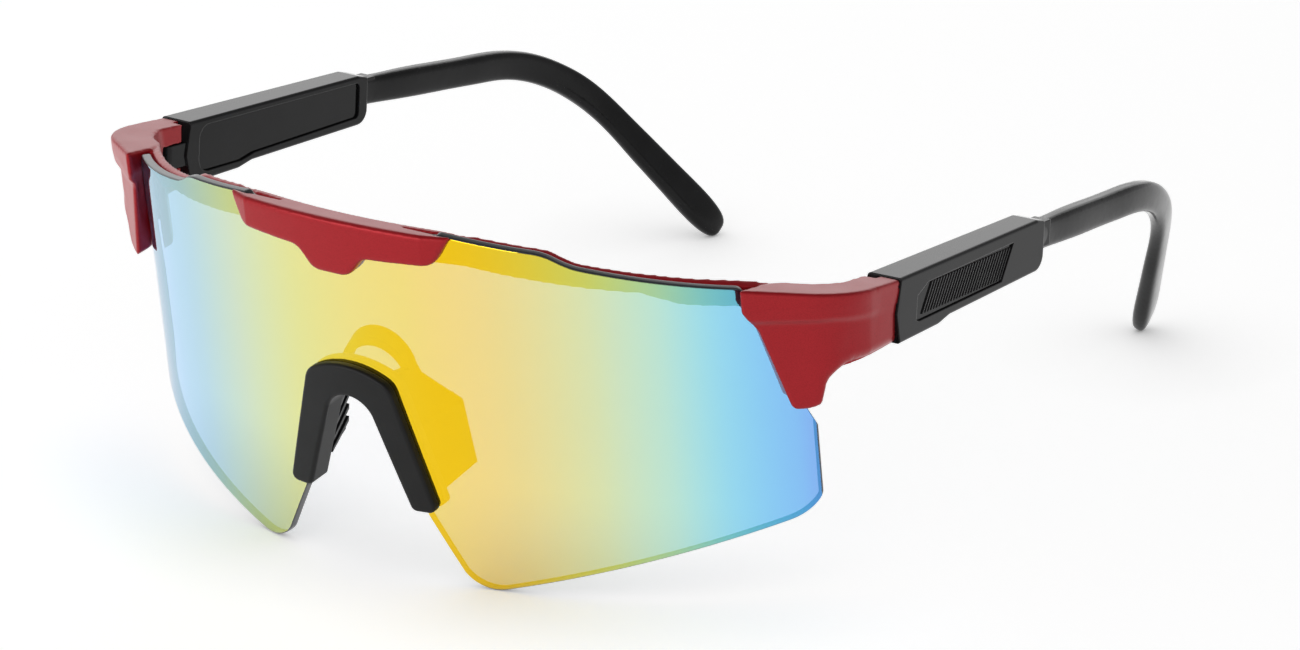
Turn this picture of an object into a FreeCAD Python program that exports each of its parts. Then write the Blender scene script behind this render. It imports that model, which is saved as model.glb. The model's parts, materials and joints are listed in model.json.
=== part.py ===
import FreeCAD, Part
import math
import os
import re
import Sketcher

# Shield sunglasses with telescoping temples. Lengths in millimetres, angles in degrees.
# +X is the wearer's left, +Y is backwards and +Z is up. The glasses stand on the lens and the arm tips.

doc = FreeCAD.newDocument("ShieldSunglasses")
sheet = doc.addObject("Spreadsheet::Sheet", "Sizes")

SIZES = {
    # Where the front stands
    "front_reach": 78.2,
    "lens_tilt": 8.4,
    # How far cutting shapes run past what they cut
    "overrun": 3.0,
    # Lens: a sheet bent to a cylinder, then cut to its front outline
    "lens_radius": 81.2,
    "lens_thickness": 1.5,
    "lens_sweep": 57.5,
    "lens_lobe_half": 22.5,
    "lens_lobe_round": 6.5,
    "lens_lobe_inset": 5.2,
    "lens_lobe_reach": 1.6,
    "nose_cut_height": 35.4,
    "nose_cut_shoulder_half": 6.2,
    "nose_cut_shoulder_drop": 3.8,
    "nose_cut_round": 7.6,
    "nose_cut_foot_half": 12.1,
    "nose_cut_foot_height": 12.0,
    "lens_side_half": 65.6,
    "lens_side_height": 14.0,
    "lens_sole_inset": 3.7,
    "lens_sole_drop": 4.8,
    "lens_corner_round": 4.9,
    "lens_ear_flare": 0.1,
    "lens_ear_height": 24.1,
    "lens_end_inset": 3.4,
    "lens_end_low_height": 36.4,
    "lens_end_top_height": 48.7,
    "lens_notch_inset": 2.8,
    "lens_notch_rise": 0.5,
    "lens_brow_inset": 0.8,
    "lens_brow_rise": 1.7,
    "lens_step_low_half": 38.0,
    "lens_step_low_rise": 6.3,
    "lens_step_run": 3.8,
    "lens_step_rise": 2.4,
    "lens_step_round": 5.0,
    "lens_ear_round": 1.2,
    "lens_crown_half": 18.6,
    "lens_crown_rise": 2.7,
    "lens_middle_inset": 0.5,
    "lens_middle_drop": 0.6,
    # Clearances round the lens
    "lens_front_gap": 0.06,
    "lens_rear_gap": 0.3,
    "lens_edge_gap": 0.12,
    # Brow bar behind the lens top
    "bar_depth": 1.5,
    "bar_sink": 0.9,
    "bar_step_inset": 1.0,
    "bar_middle_width": 5.1,
    "bar_under_half": 20.0,
    "bar_under_drop": 0.3,
    "bar_slope_half": 45.7,
    "bar_slope_drop": 5.1,
    "bar_drop_run": 5.0,
    "bar_drop": 2.7,
    "bar_end_drop": 2.6,
    "rear_wall_inset": 1.6,
    "rear_wall_reach": 1.8,
    # Middle plate in front of the lens, with its tab
    "plate_depth": 2.1,
    "plate_top_rise": 1.3,
    "plate_corner_reach": 2.9,
    "plate_corner_drop": 0.5,
    "plate_low_inset": 3.3,
    "plate_width": 5.6,
    "plate_low_round": 2.4,
    "plate_edge_round": 0.6,
    "tab_top_half": 6.2,
    "tab_top_drop": 0.3,
    "tab_lean": 2.8,
    "tab_length": 3.5,
    "tab_round": 2.8,
    "brow_top_rise": 0.5,
    "brow_top_slope": 15.0,
    "bridge_inset": 0.7,
    "bridge_depth": 1.2,
    # End pieces with claws, seen from above
    "claw_lead_inset": 4.7,
    "claw_lead_depth": 20.9,
    "corner_start_reach": 5.1,
    "corner_start_run": 7.6,
    "corner_round": 14.0,
    "corner_end_reach": 0.1,
    "corner_end_lead": 1.9,
    "seam_side_inset": 0.3,
    "block_rear_run": 10.8,
    "block_edge": 0.5,
    "block_width": 5.7,
    "cheek_lead": 0.2,
    "hollow_round": 11.0,
    "hollow_inset": 0.7,
    # End pieces with claws, seen from the side
    "block_front_depth": 15.0,
    "block_top_rise": 5.2,
    "block_top_fall": 10.3,
    "claw_foot_height": 29.6,
    "claw_heel_depth": 31.5,
    "claw_heel_round": 1.4,
    "armpit_round": 2.6,
    "armpit_run": 0.3,
    "claw_length": 6.4,
    "block_under_fall": 2.5,
    "block_edge_round": 0.4,
    "block_under_round": 0.8,
    # Crease along the end pieces; below it the outer face leans in towards the lens
    "crease_front_drop": 0.9,
    "crease_corner_drop": 2.6,
    "crease_rear_drop": 4.6,
    "lean_front": 2.1,
    "lean_corner": 1.2,
    "lean_rear": 0.4,
    # Claws, seen from the front
    "claw_top_inset": 2.6,
    "claw_brow_drop": 0.9,
    "claw_notch_step": 1.7,
    "claw_notch_drop": 4.0,
    "claw_tip_lean": 2.6,
    "claw_notch_round": 2.0,
    "claw_tip_cut": 0.8,
    # Temple: place of its top outer front edge, beside and behind the lens and above the table
    "temple_reach": 7.4,
    "seam_y": 41.2,
    "seam_z": 51.1,
    "temple_toe": 1.8,
    "temple_pitch": 4.6,
    # Hinge
    "pin_forward": 4.4,
    "pin_inward": 3.7,
    "pin_radius": 0.7,
    "pin_top_depth": 1.3,
    "pin_clearance": 0.05,
    "screw_head_radius": 1.3,
    "screw_head_height": 0.7,
    "screw_seat_depth": 9.7,
    "screw_slot_width": 0.4,
    "screw_slot_depth": 0.35,
    "tongue_round": 2.2,
    "tongue_top_depth": 3.4,
    "tongue_height": 4.0,
    "tongue_clearance": 0.15,
    "seam_clearance": 0.12,
    "lug_rear_length": 2.6,
    # Sleeve
    "sleeve_length": 48.0,
    "sleeve_thickness": 6.2,
    "sleeve_taper": 1.2,
    "seam_bulge": 0.95,
    "seam_bulge_depth": 5.7,
    "sleeve_front_height": 10.8,
    "sleeve_front_rake": 0.55,
    "sleeve_step_start": 13.2,
    "sleeve_under_rise": 0.4,
    "sleeve_step_run": 3.6,
    "sleeve_step_rise": 0.8,
    "sleeve_rear_rise": 0.9,
    "sleeve_rear_round": 2.6,
    "sleeve_rear_drop": 0.6,
    "sleeve_rear_slope": 2.6,
    "sleeve_edge_round": 0.55,
    # Cover that closes the sleeve on the inner side
    "cover_recess": 0.4,
    "cover_thickness": 0.8,
    "cover_front": 2.4,
    "cover_rear_rim": 2.6,
    "cover_top_depth": 1.1,
    "cover_front_rim": 1.6,
    "cover_step_shift": 0.4,
    "cover_low_rim": 1.3,
    "cover_rear_low_rim": 1.4,
    "cover_front_round": 2.4,
    "cover_rear_round": 0.9,
    "cover_clearance": 0.05,
    # Inlay with slanted ribs in the outer recess
    "inlay_recess": 0.55,
    "inlay_thickness": 0.25,
    "inlay_front": 5.5,
    "inlay_front_top_depth": 4.0,
    "inlay_front_height": 4.0,
    "inlay_heel_run": 0.9,
    "inlay_heel_drop": 0.3,
    "inlay_nose_run": 3.3,
    "inlay_nose_depth": 2.4,
    "inlay_tail_rim": 10.9,
    "inlay_tail_top_depth": 2.0,
    "inlay_tail_slant": 3.4,
    "inlay_tail_height": 5.8,
    "inlay_clearance": 0.04,
    "rib_height": 0.2,
    "rib_width": 0.4,
    "rib_pitch": 0.95,
    "rib_rim": 0.8,
    "rib_top_rim": 0.2,
    "rib_low_rim": 0.4,
    "rib_lean": 2.8,
    # Stem of the arm and its channel in the sleeve
    "stem_thickness": 3.0,
    "stem_top_depth": 1.2,
    "stem_height": 4.2,
    "stem_front": 14.2,
    "stem_clearance": 0.1,
    "stop_length": 3.0,
    "stop_drop": 1.2,
    "slide_travel": 12.0,
    "notch_pitch": 2.0,
    "notch_width": 1.0,
    "notch_depth": 0.5,
    "notch_lead": 10.0,
    # Detent spring under the stem
    "spring_length": 12.8,
    "spring_rear_lead": 3.6,
    "spring_foot": 1.2,
    "spring_floor_drop": 0.5,
    "spring_thickness": 0.25,
    "spring_width": 2.4,
    "spring_rise_gap": 0.22,
    "spring_click_height": 0.3,
    "spring_click_half": 0.42,
    "spring_end_gap": 0.4,
    # Arm outside the sleeve, in the temple's own directions
    "arm_shoulder_gap": 0.25,
    "arm_height": 5.2,
    "arm_thickness": 3.5,
    "arm_centre_depth": 3.6,
    "arm_centre_inward": 3.4,
    "arm_run": 53.2,
    "elbow_inward": 6.3,
    "elbow_depth": 5.7,
    "elbow_round": 38.0,
    "tip_run": 28.6,
    "tip_inward": 24.6,
    "tip_depth": 40.09,
    "neck_width": 5.1,
    "neck_thickness": 2.7,
    "paddle_width": 6.3,
    "paddle_thickness": 3.3,
    # Nose piece: lip in front, groove on the lens edge, flange and wings behind
    "lip_depth": 1.3,
    "flange_depth": 1.4,
    "groove_clearance": 0.05,
    "lip_top_rise": 1.7,
    "lip_shoulder_reach": 1.9,
    "lip_shoulder_rise": 3.0,
    "lip_shoulder_round": 3.5,
    "lip_foot_reach": 2.3,
    "lip_foot_rise": 1.2,
    "lip_inner_foot_inset": 2.2,
    "lip_inner_shoulder_inset": 1.9,
    "lip_inner_shoulder_drop": 2.7,
    "lip_inner_top_drop": 3.7,
    "lip_foot_round": 1.2,
    "lip_edge_round": 0.6,
    "wing_start": 1.9,
    "wing_end": 12.5,
    "wing_wall": 1.5,
    "wing_top_drop": 1.6,
    "wing_shoulder_inset": 0.6,
    "wing_shoulder_drop": 1.0,
    "wing_pad_reach": 1.5,
    "wing_pad_drop": 5.0,
    "wing_foot_inset": 1.5,
    "wing_foot_rise": 2.0,
    "wing_top_climb": 6.6,
    "wing_shoulder_taper": 0.7,
    "wing_shoulder_climb": 5.8,
    "wing_pad_flare": 3.6,
    "wing_pad_climb": 1.6,
    "wing_foot_flare": 1.8,
    "wing_foot_climb": 1.4,
    "window_front": 3.4,
    "window_rear": 6.8,
    "window_rise": 0.3,
    "wing_tail_low_rise": 1.2,
    "wing_tail_top_drop": 8.8,
    "wing_arch_tail": 8.8,
    "wing_arch_drop": 3.4,
    "nose_rib_height": 0.7,
    "nose_rib_thickness": 0.9,
    "nose_rib_pitch": 2.3,
    "nose_rib_start": 0.4,
    "nose_rib_front": 6.2,
    "nose_rib_climb": 2.6,
}
# Places that follow from the sizes above
FOLLOWING = {
    "lens_lobe_inner_half": "lens_lobe_half - lens_lobe_inset",
    "lens_lobe_outer_half": "lens_lobe_half + lens_lobe_reach",
    "nose_cut_shoulder_height": "nose_cut_height - nose_cut_shoulder_drop",
    "lens_sole_half": "lens_side_half - lens_sole_inset",
    "lens_sole_height": "lens_side_height - lens_sole_drop",
    "lens_ear_half": "lens_side_half + lens_ear_flare",
    "lens_end_half": "lens_side_half - lens_end_inset",
    "lens_notch_half": "lens_end_half - lens_notch_inset",
    "lens_notch_height": "lens_end_top_height + lens_notch_rise",
    "lens_brow_half": "lens_notch_half - lens_brow_inset",
    "lens_brow_height": "lens_notch_height + lens_brow_rise",
    "lens_step_low_height": "lens_brow_height + lens_step_low_rise",
    "lens_step_high_half": "lens_step_low_half - lens_step_run",
    "lens_step_high_height": "lens_step_low_height + lens_step_rise",
    "lens_crown_height": "lens_step_high_height + lens_crown_rise",
    "lens_middle_half": "lens_crown_half - lens_middle_inset",
    "lens_middle_height": "lens_crown_height - lens_middle_drop",
    "bar_middle_height": "lens_middle_height - bar_middle_width",
    "bar_under_height": "bar_middle_height - bar_under_drop",
    "bar_slope_height": "bar_under_height - bar_slope_drop",
    "bar_drop_half": "bar_slope_half + bar_drop_run",
    "bar_drop_height": "bar_slope_height - bar_drop",
    "bar_end_height": "bar_drop_height - bar_end_drop",
    "rear_wall_half": "lens_end_half - rear_wall_inset",
    "rear_wall_end_half": "lens_end_half + rear_wall_reach",
    "plate_top_height": "lens_crown_height + plate_top_rise",
    "plate_corner_half": "lens_crown_half + plate_corner_reach",
    "plate_corner_height": "plate_top_height - plate_corner_drop",
    "plate_low_half": "plate_corner_half - plate_low_inset",
    "plate_low_height": "plate_corner_height - plate_width",
    "tab_top_height": "plate_low_height - tab_top_drop",
    "tab_low_half": "tab_top_half - tab_lean",
    "tab_low_height": "tab_top_height - tab_length",
    "brow_top_height": "lens_crown_height + brow_top_rise",
    "bridge_half": "lens_crown_half - bridge_inset",
    "seam_x": "lens_side_half + temple_reach",
    "claw_lead_half": "lens_end_half - claw_lead_inset",
    "corner_start_half": "lens_end_half + corner_start_reach",
    "corner_start_depth": "claw_lead_depth + corner_start_run",
    "corner_end_half": "seam_x + corner_end_reach",
    "corner_end_depth": "seam_y - corner_end_lead",
    "seam_half": "seam_x - seam_side_inset",
    "block_rear_depth": "seam_y + block_rear_run",
    "cheek_half": "seam_x - block_width",
    "cheek_depth": "seam_y - cheek_lead",
    "hollow_half": "lens_end_half - hollow_inset",
    "block_top_front_height": "lens_end_top_height + block_top_rise",
    "block_top_rear_height": "block_top_front_height - block_top_fall",
    "armpit_depth": "claw_heel_depth + armpit_run",
    "armpit_height": "claw_foot_height + claw_length",
    "block_under_rear_height": "armpit_height - block_under_fall",
    "crease_front_height": "lens_end_top_height - crease_front_drop",
    "crease_corner_height": "lens_end_top_height - crease_corner_drop",
    "crease_rear_height": "lens_end_top_height - crease_rear_drop",
    "claw_top_half": "lens_end_half - claw_top_inset",
    "claw_brow_height": "lens_end_top_height - claw_brow_drop",
    "claw_notch_half": "claw_top_half + claw_notch_step",
    "claw_notch_height": "claw_brow_height - claw_notch_drop",
    "claw_tip_half": "claw_notch_half + claw_tip_lean",
    "tongue_low_depth": "tongue_top_depth + tongue_height",
    "sleeve_step_start_height": "sleeve_front_height - sleeve_under_rise",
    "sleeve_step_end": "sleeve_step_start + sleeve_step_run",
    "sleeve_step_end_height": "sleeve_step_start_height - sleeve_step_rise",
    "sleeve_rear_height": "sleeve_step_end_height - sleeve_rear_rise",
    "cover_rear": "sleeve_length - cover_rear_rim",
    "cover_front_low_depth": "sleeve_front_height - cover_front_rim",
    "cover_step_start": "sleeve_step_start + cover_step_shift",
    "cover_step_start_depth": "sleeve_step_start_height - cover_low_rim",
    "cover_step_end": "sleeve_step_end + cover_step_shift",
    "cover_step_end_depth": "sleeve_step_end_height - cover_low_rim",
    "cover_rear_low_depth": "sleeve_rear_height - cover_rear_low_rim",
    "inlay_front_low_depth": "inlay_front_top_depth + inlay_front_height",
    "inlay_heel": "inlay_front + inlay_heel_run",
    "inlay_heel_depth": "inlay_front_low_depth + inlay_heel_drop",
    "inlay_nose": "inlay_front + inlay_nose_run",
    "inlay_tail_top": "sleeve_length - inlay_tail_rim",
    "inlay_tail_low": "inlay_tail_top - inlay_tail_slant",
    "inlay_tail_low_depth": "inlay_tail_top_depth + inlay_tail_height",
    "rib_start": "inlay_tail_top - rib_rim",
    "rib_top_depth": "inlay_nose_depth + rib_top_rim",
    "rib_low_depth": "inlay_tail_low_depth - rib_low_rim",
    "stem_low_depth": "stem_top_depth + stem_height",
    "stop_depth": "stem_low_depth + stop_drop",
    "notch_rear": "sleeve_length - notch_lead",
    "spring_rear": "sleeve_length - spring_rear_lead",
    "spring_front": "spring_rear - spring_length",
    "spring_floor_depth": "stop_depth + spring_floor_drop",
    "spring_rise_depth": "stem_low_depth + spring_rise_gap",
    "elbow_back": "sleeve_length + arm_run",
    "tip_back": "elbow_back + tip_run",
    "lip_top_height": "nose_cut_height + lip_top_rise",
    "lip_shoulder_half": "nose_cut_shoulder_half + lip_shoulder_reach",
    "lip_shoulder_height": "nose_cut_shoulder_height + lip_shoulder_rise",
    "lip_foot_half": "nose_cut_foot_half + lip_foot_reach",
    "lip_foot_height": "nose_cut_foot_height + lip_foot_rise",
    "lip_inner_foot_half": "nose_cut_foot_half - lip_inner_foot_inset",
    "lip_inner_shoulder_half": "nose_cut_shoulder_half - lip_inner_shoulder_inset",
    "lip_inner_shoulder_height": "nose_cut_shoulder_height - lip_inner_shoulder_drop",
    "lip_inner_top_height": "nose_cut_height - lip_inner_top_drop",
    "wing_front_top_height": "nose_cut_height - wing_top_drop",
    "wing_front_shoulder_half": "nose_cut_shoulder_half - wing_shoulder_inset",
    "wing_front_shoulder_height": "nose_cut_shoulder_height - wing_shoulder_drop",
    "wing_front_pad_half": "wing_front_shoulder_half + wing_pad_reach",
    "wing_front_pad_height": "wing_front_shoulder_height - wing_pad_drop",
    "wing_front_foot_half": "nose_cut_foot_half - wing_foot_inset",
    "wing_front_foot_height": "nose_cut_foot_height + wing_foot_rise",
    "wing_rear_top_height": "wing_front_top_height + wing_top_climb",
    "wing_rear_shoulder_half": "wing_front_shoulder_half - wing_shoulder_taper",
    "wing_rear_shoulder_height": "wing_front_shoulder_height + wing_shoulder_climb",
    "wing_rear_pad_half": "wing_front_pad_half + wing_pad_flare",
    "wing_rear_pad_height": "wing_front_pad_height + wing_pad_climb",
    "wing_rear_foot_half": "wing_front_foot_half + wing_foot_flare",
    "wing_rear_foot_height": "wing_front_foot_height + wing_foot_climb",
    "window_low_height": "wing_front_top_height + window_rise",
    "wing_tail_low_height": "wing_rear_foot_height + wing_tail_low_rise",
    "wing_tail_top_height": "wing_rear_shoulder_height - wing_tail_top_drop",
    "wing_arch_height": "wing_rear_shoulder_height - wing_arch_drop",
    "nose_rib_first": "wing_rear_foot_height + nose_rib_start",
}
# A face belongs to the outer skin if at least this share of its direction points away from the lens axis
OUTWARD_SHARE = 0.6
NOSE_RIB_COUNT = 5
RIB_COUNT = 28
# Stations along the arm's run, its elbow and its ear end, and how much of the full section the ear end keeps
RUN_SHARES = (0.0, 0.3, 0.6, 0.85)
BEND_SHARES = (0.0, 0.2, 0.4, 0.6, 0.8, 1.0)
TIP_STATION_SHARES = (0.2, 0.4, 0.6, 0.78, 0.89, 0.95, 0.982, 0.997)
TIP_SIZE_SHARES = (1.0, 1.0, 1.0, 0.98, 0.9, 0.76, 0.57, 0.33)
# An arm's section runs through this many points; the share squares its corners (1 would be an ellipse)
SECTION_POINTS = 16
SECTION_SQUARE_SHARE = 0.6

NAMED = {**SIZES, **FOLLOWING}
for row, (alias, amount) in enumerate(NAMED.items(), start=1):
    sheet.set("A%d" % row, alias.replace("_", " "))
    sheet.set("B%d" % row, "=" + amount if alias in FOLLOWING else str(amount))
    sheet.setAlias("B%d" % row, alias)
doc.recompute()


def size(words):
    """The number that an expression on the sheet's sizes gives."""
    return float(sheet.evalExpression(words))


def link(words):
    """The same expression as other objects write it, with the sheet's name before each size."""
    return re.sub(r"[a-z_]+", lambda m: "Sizes." + m.group() if m.group() in NAMED else m.group(), words)


def plane(body, role):
    return next(item for item in body.Origin.OriginFeatures if item.Role == role)


def new_body(name):
    return doc.addObject("PartDesign::Body", name)


def sketch_on(body, role, name, height="0"):
    """An empty sketch on one of the body's origin planes, moved along that plane's normal."""
    drawing = body.newObject("Sketcher::SketchObject", name)
    drawing.AttachmentSupport = [(plane(body, role), "")]
    drawing.MapMode = "FlatFace"
    drawing.setExpression("AttachmentOffset.Base.z", link(height))
    return drawing


def arc_middle(start, end, radius, turn):
    """Middle of the short arc between two points; turn is 1 where it bends left and -1 where right."""
    chord = end - start
    half = chord.Length / 2
    sagitta = radius - math.sqrt(radius * radius - half * half)
    side = FreeCAD.Vector(chord.y, -chord.x, 0)
    side.normalize()
    return (start + end) * 0.5 + side * sagitta * turn


def outline(drawing, corners):
    """A closed outline through corners given as expressions. A corner with a radius and a turn is reached
    by an arc. Every corner is tied to the sheet by its two distances from the origin."""
    points = [FreeCAD.Vector(size(c[0]), size(c[1]), 0) for c in corners]
    first = len(drawing.Geometry)
    ends = []
    for index, corner in enumerate(corners):
        start = points[index - 1]
        end = points[index]
        if len(corner) == 2:
            drawing.addGeometry(Part.LineSegment(start, end), False)
            ends.append((1, 2))
        else:
            middle = arc_middle(start, end, size(corner[2]), corner[3])
            drawing.addGeometry(Part.Arc(start, middle, end), False)
            ends.append((1, 2) if corner[3] > 0 else (2, 1))
    count = len(corners)
    joins = []
    for index in range(count):
        after = (index + 1) % count
        places = (first + index, ends[index][1], first + after, ends[after][0])
        joins.append(Sketcher.Constraint("Coincident", *places))
    drawing.addConstraint(joins)
    ties = []
    words = []
    for index, corner in enumerate(corners):
        ties.append(Sketcher.Constraint("DistanceX", -1, 1, first + index, ends[index][1], points[index].x))
        ties.append(Sketcher.Constraint("DistanceY", -1, 1, first + index, ends[index][1], points[index].y))
        words += corner[:2]
        if len(corner) == 4:
            ties.append(Sketcher.Constraint("Radius", first + index, size(corner[2])))
            words.append(corner[2])
    numbers = drawing.addConstraint(ties)
    for number, sizes in zip(numbers, words):
        drawing.setExpression("Constraints[%d]" % number, link(sizes))


def tie(drawing, constraint, words):
    number = drawing.addConstraint(constraint)
    drawing.setExpression("Constraints[%d]" % number, link(words))


def circle(drawing, across, up, radius):
    """A circle tied to the sheet by its centre and its radius."""
    centre = FreeCAD.Vector(size(across), size(up), 0)
    number = drawing.addGeometry(Part.Circle(centre, FreeCAD.Vector(0, 0, 1), size(radius)), False)
    tie(drawing, Sketcher.Constraint("DistanceX", -1, 1, number, 3, centre.x), across)
    tie(drawing, Sketcher.Constraint("DistanceY", -1, 1, number, 3, centre.y), up)
    tie(drawing, Sketcher.Constraint("Radius", number, size(radius)), radius)


def pad(body, drawing, length, reverse=False, both=False):
    feature = body.newObject("PartDesign::Pad", drawing.Name + "Pad")
    feature.Profile = drawing
    feature.setExpression("Length", link(length))
    feature.Reversed = reverse
    if both:
        feature.SideType = "Symmetric"
    doc.recompute()
    return feature


def pocket(body, drawing, length, reverse=False, both=False):
    """A cut that has to take material away."""
    before = body.Shape.Volume
    feature = body.newObject("PartDesign::Pocket", drawing.Name + "Pocket")
    feature.Profile = drawing
    feature.setExpression("Length", link(length))
    feature.Reversed = reverse
    if both:
        feature.SideType = "Symmetric"
    doc.recompute()
    if body.Shape.Volume >= before:
        raise RuntimeError("nothing cut by " + feature.Name)
    return feature


def round_edges(body, name, radius, wanted):
    """A fillet on the edges of the body that a test picks by their middle point and direction."""
    tip = body.Tip
    names = []
    for number, edge in enumerate(tip.Shape.Edges, start=1):
        middle = edge.valueAt((edge.FirstParameter + edge.LastParameter) / 2)
        run = edge.Vertexes[-1].Point - edge.Vertexes[0].Point
        if wanted(middle, run):
            names.append("Edge%d" % number)
    if not names:
        raise RuntimeError("no edges to round for " + name)
    feature = body.newObject("PartDesign::Fillet", name)
    feature.Base = (tip, names)
    feature.setExpression("Radius", link(radius))
    doc.recompute()
    return feature


def face_way(face):
    """Middle of a face, and the direction that it looks in there."""
    low_u, high_u, low_v, high_v = face.ParameterRange
    middle = ((low_u + high_u) / 2, (low_v + high_v) / 2)
    return face.valueAt(*middle), face.normalAt(*middle)


def round_border(body, name, radius, inside, wanted):
    """A fillet on the border of a patch of faces. inside picks the faces of the patch, and wanted picks the
    faces next to it whose edges with the patch are rounded."""
    tip = body.Tip
    names = []
    for number, edge in enumerate(tip.Shape.Edges, start=1):
        faces = tip.Shape.ancestorsOfType(edge, Part.Face)
        patch = [face for face in faces if inside(*face_way(face))]
        if len(faces) == 2 and len(patch) == 1:
            beside = faces[1] if patch[0].isSame(faces[0]) else faces[0]
            if wanted(*face_way(beside)):
                names.append("Edge%d" % number)
    if not names:
        raise RuntimeError("no edges to round for " + name)
    feature = body.newObject("PartDesign::Fillet", name)
    feature.Base = (tip, names)
    feature.setExpression("Radius", link(radius))
    doc.recompute()
    return feature


def along_depth(run):
    return abs(run.y) > abs(run.x) + abs(run.z)


def along_width(run):
    return abs(run.x) > abs(run.y) + abs(run.z)


def near(amount, words, slack="lens_edge_gap"):
    return abs(amount - size(words)) < size(slack)


def both_sides(half, over=()):
    """A half outline, from a corner on the middle line outwards, closed with its mirror image. The two last
    corners are joined by a line, or by an arc where over gives its radius and turn."""
    first = half[0] + half[1][2:]
    far = ("-(%s)" % half[-1][0], half[-1][1]) + over
    other = [("-(%s)" % half[i - 1][0], half[i - 1][1]) + half[i][2:] for i in range(len(half) - 1, 1, -1)]
    return [first] + half[1:] + [far] + other


# Frames in which the pieces are drawn: the front is tilted with the lens, each temple with its sleeve
lobe_depth = size("lens_radius - sqrt(lens_radius^2 - lens_lobe_half^2)")
front_lift = -lobe_depth * math.sin(math.radians(size("lens_tilt")))
front_place = FreeCAD.Placement(
    FreeCAD.Vector(0, -size("front_reach"), front_lift),
    FreeCAD.Rotation(FreeCAD.Vector(1, 0, 0), size("lens_tilt")))
temple_turn = FreeCAD.Rotation(FreeCAD.Vector(0, 0, 1), size("temple_toe")).multiply(
    FreeCAD.Rotation(FreeCAD.Vector(1, 0, 0), -size("temple_pitch")))
temple_place = FreeCAD.Placement(
    FreeCAD.Vector(size("seam_x"), size("seam_y - front_reach"), size("seam_z")), temple_turn)


def from_axis(point):
    """Distance of a point from the axis that the lens is bent about."""
    return math.hypot(point.x, size("lens_radius") - point.y)


def bent_sheet(name, inner, outer, low, high, front_outline, sweep="lens_sweep * 1 deg"):
    """A ring sector about the lens axis, cut from the front to an outline."""
    body = new_body(name)
    plan = sketch_on(body, "XY_Plane", name + "Plan", low)
    ring = []
    for radius in (outer, inner):
        ring.append(("-(%s) * sin(%s)" % (radius, sweep), "lens_radius - (%s) * cos(%s)" % (radius, sweep)))
    mirror_ring = [(pair[0][1:], pair[1]) for pair in ring]
    outline(plan, [ring[0], mirror_ring[0] + (outer, 1), mirror_ring[1], ring[1] + (inner, -1)])
    pad(body, plan, "%s - (%s)" % (high, low))
    face = sketch_on(body, "XZ_Plane", name + "Face")
    wide = "%s + overrun" % outer
    outline(face, [("-(%s)" % wide, "%s - overrun" % low), (wide, "%s - overrun" % low),
                   (wide, "%s + overrun" % high), ("-(%s)" % wide, "%s + overrun" % high)])
    outline(face, front_outline)
    pocket(body, face, "4 * lens_radius", both=True)
    body.Placement = front_place
    return body


# Lens
def lens_outline(grow):
    """Front outline of the lens; grow is the clearance by which a slot for it is larger."""
    lobe_in = "lens_lobe_round - sqrt(lens_lobe_round^2 - (lens_lobe_half - lens_lobe_inner_half)^2)"
    lobe_out = "lens_lobe_round - sqrt(lens_lobe_round^2 - (lens_lobe_outer_half - lens_lobe_half)^2)"
    return both_sides([
        ("0", "nose_cut_height - (%s)" % grow),
        ("nose_cut_shoulder_half - (%s)" % grow, "nose_cut_shoulder_height - (%s)" % grow,
         "nose_cut_round", -1),
        ("nose_cut_foot_half - (%s)" % grow, "nose_cut_foot_height"),
        ("lens_lobe_inner_half - (%s)" % grow, lobe_in),
        ("lens_lobe_outer_half", "%s - (%s)" % (lobe_out, grow), "lens_lobe_round", 1),
        ("lens_sole_half", "lens_sole_height - (%s)" % grow),
        ("lens_side_half + (%s)" % grow, "lens_side_height", "lens_corner_round", 1),
        ("lens_ear_half + (%s)" % grow, "lens_ear_height"),
        ("lens_end_half + (%s)" % grow, "lens_end_low_height"),
        ("lens_end_half + (%s)" % grow, "lens_end_top_height + (%s)" % grow),
        ("lens_notch_half + (%s)" % grow, "lens_notch_height + (%s)" % grow),
        ("lens_brow_half", "lens_brow_height + (%s)" % grow),
        ("lens_step_low_half", "lens_step_low_height + (%s)" % grow),
        ("lens_step_high_half", "lens_step_high_height + (%s)" % grow),
        ("lens_crown_half", "lens_crown_height + (%s)" % grow),
        ("lens_middle_half", "lens_middle_height + (%s)" % grow),
    ])


lens = bent_sheet("Lens", "lens_radius - lens_thickness", "lens_radius",
                  "-overrun", "lens_crown_height + overrun", lens_outline("0"),
                  "asin((lens_side_half - lens_edge_gap) / lens_radius)")
round_edges(lens, "LensSteps", "lens_step_round", lambda middle, run: along_depth(run)
            and (near(abs(middle.x), "lens_step_low_half") or near(abs(middle.x), "lens_step_high_half"))
            and middle.z > size("bar_middle_height"))
round_edges(lens, "LensEars", "lens_ear_round", lambda middle, run: middle.z > size("lens_side_height")
            and abs(middle.x) > size("lens_side_half - lens_ear_round")
            and abs(run.x) > size("lens_edge_gap"))
lens.Label = "lens"


# Front frame: bar behind the lens, plate and bridge at the middle, end pieces with claws
slot_rear = "lens_radius - lens_thickness - lens_rear_gap"
slot_front = "lens_radius + lens_front_gap"
bar_rear = "%s - bar_depth" % slot_rear
plate_front = "%s + plate_depth" % slot_front
brow_low = "claw_foot_height - overrun"
brow_high = "plate_top_height + overrun"

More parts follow.
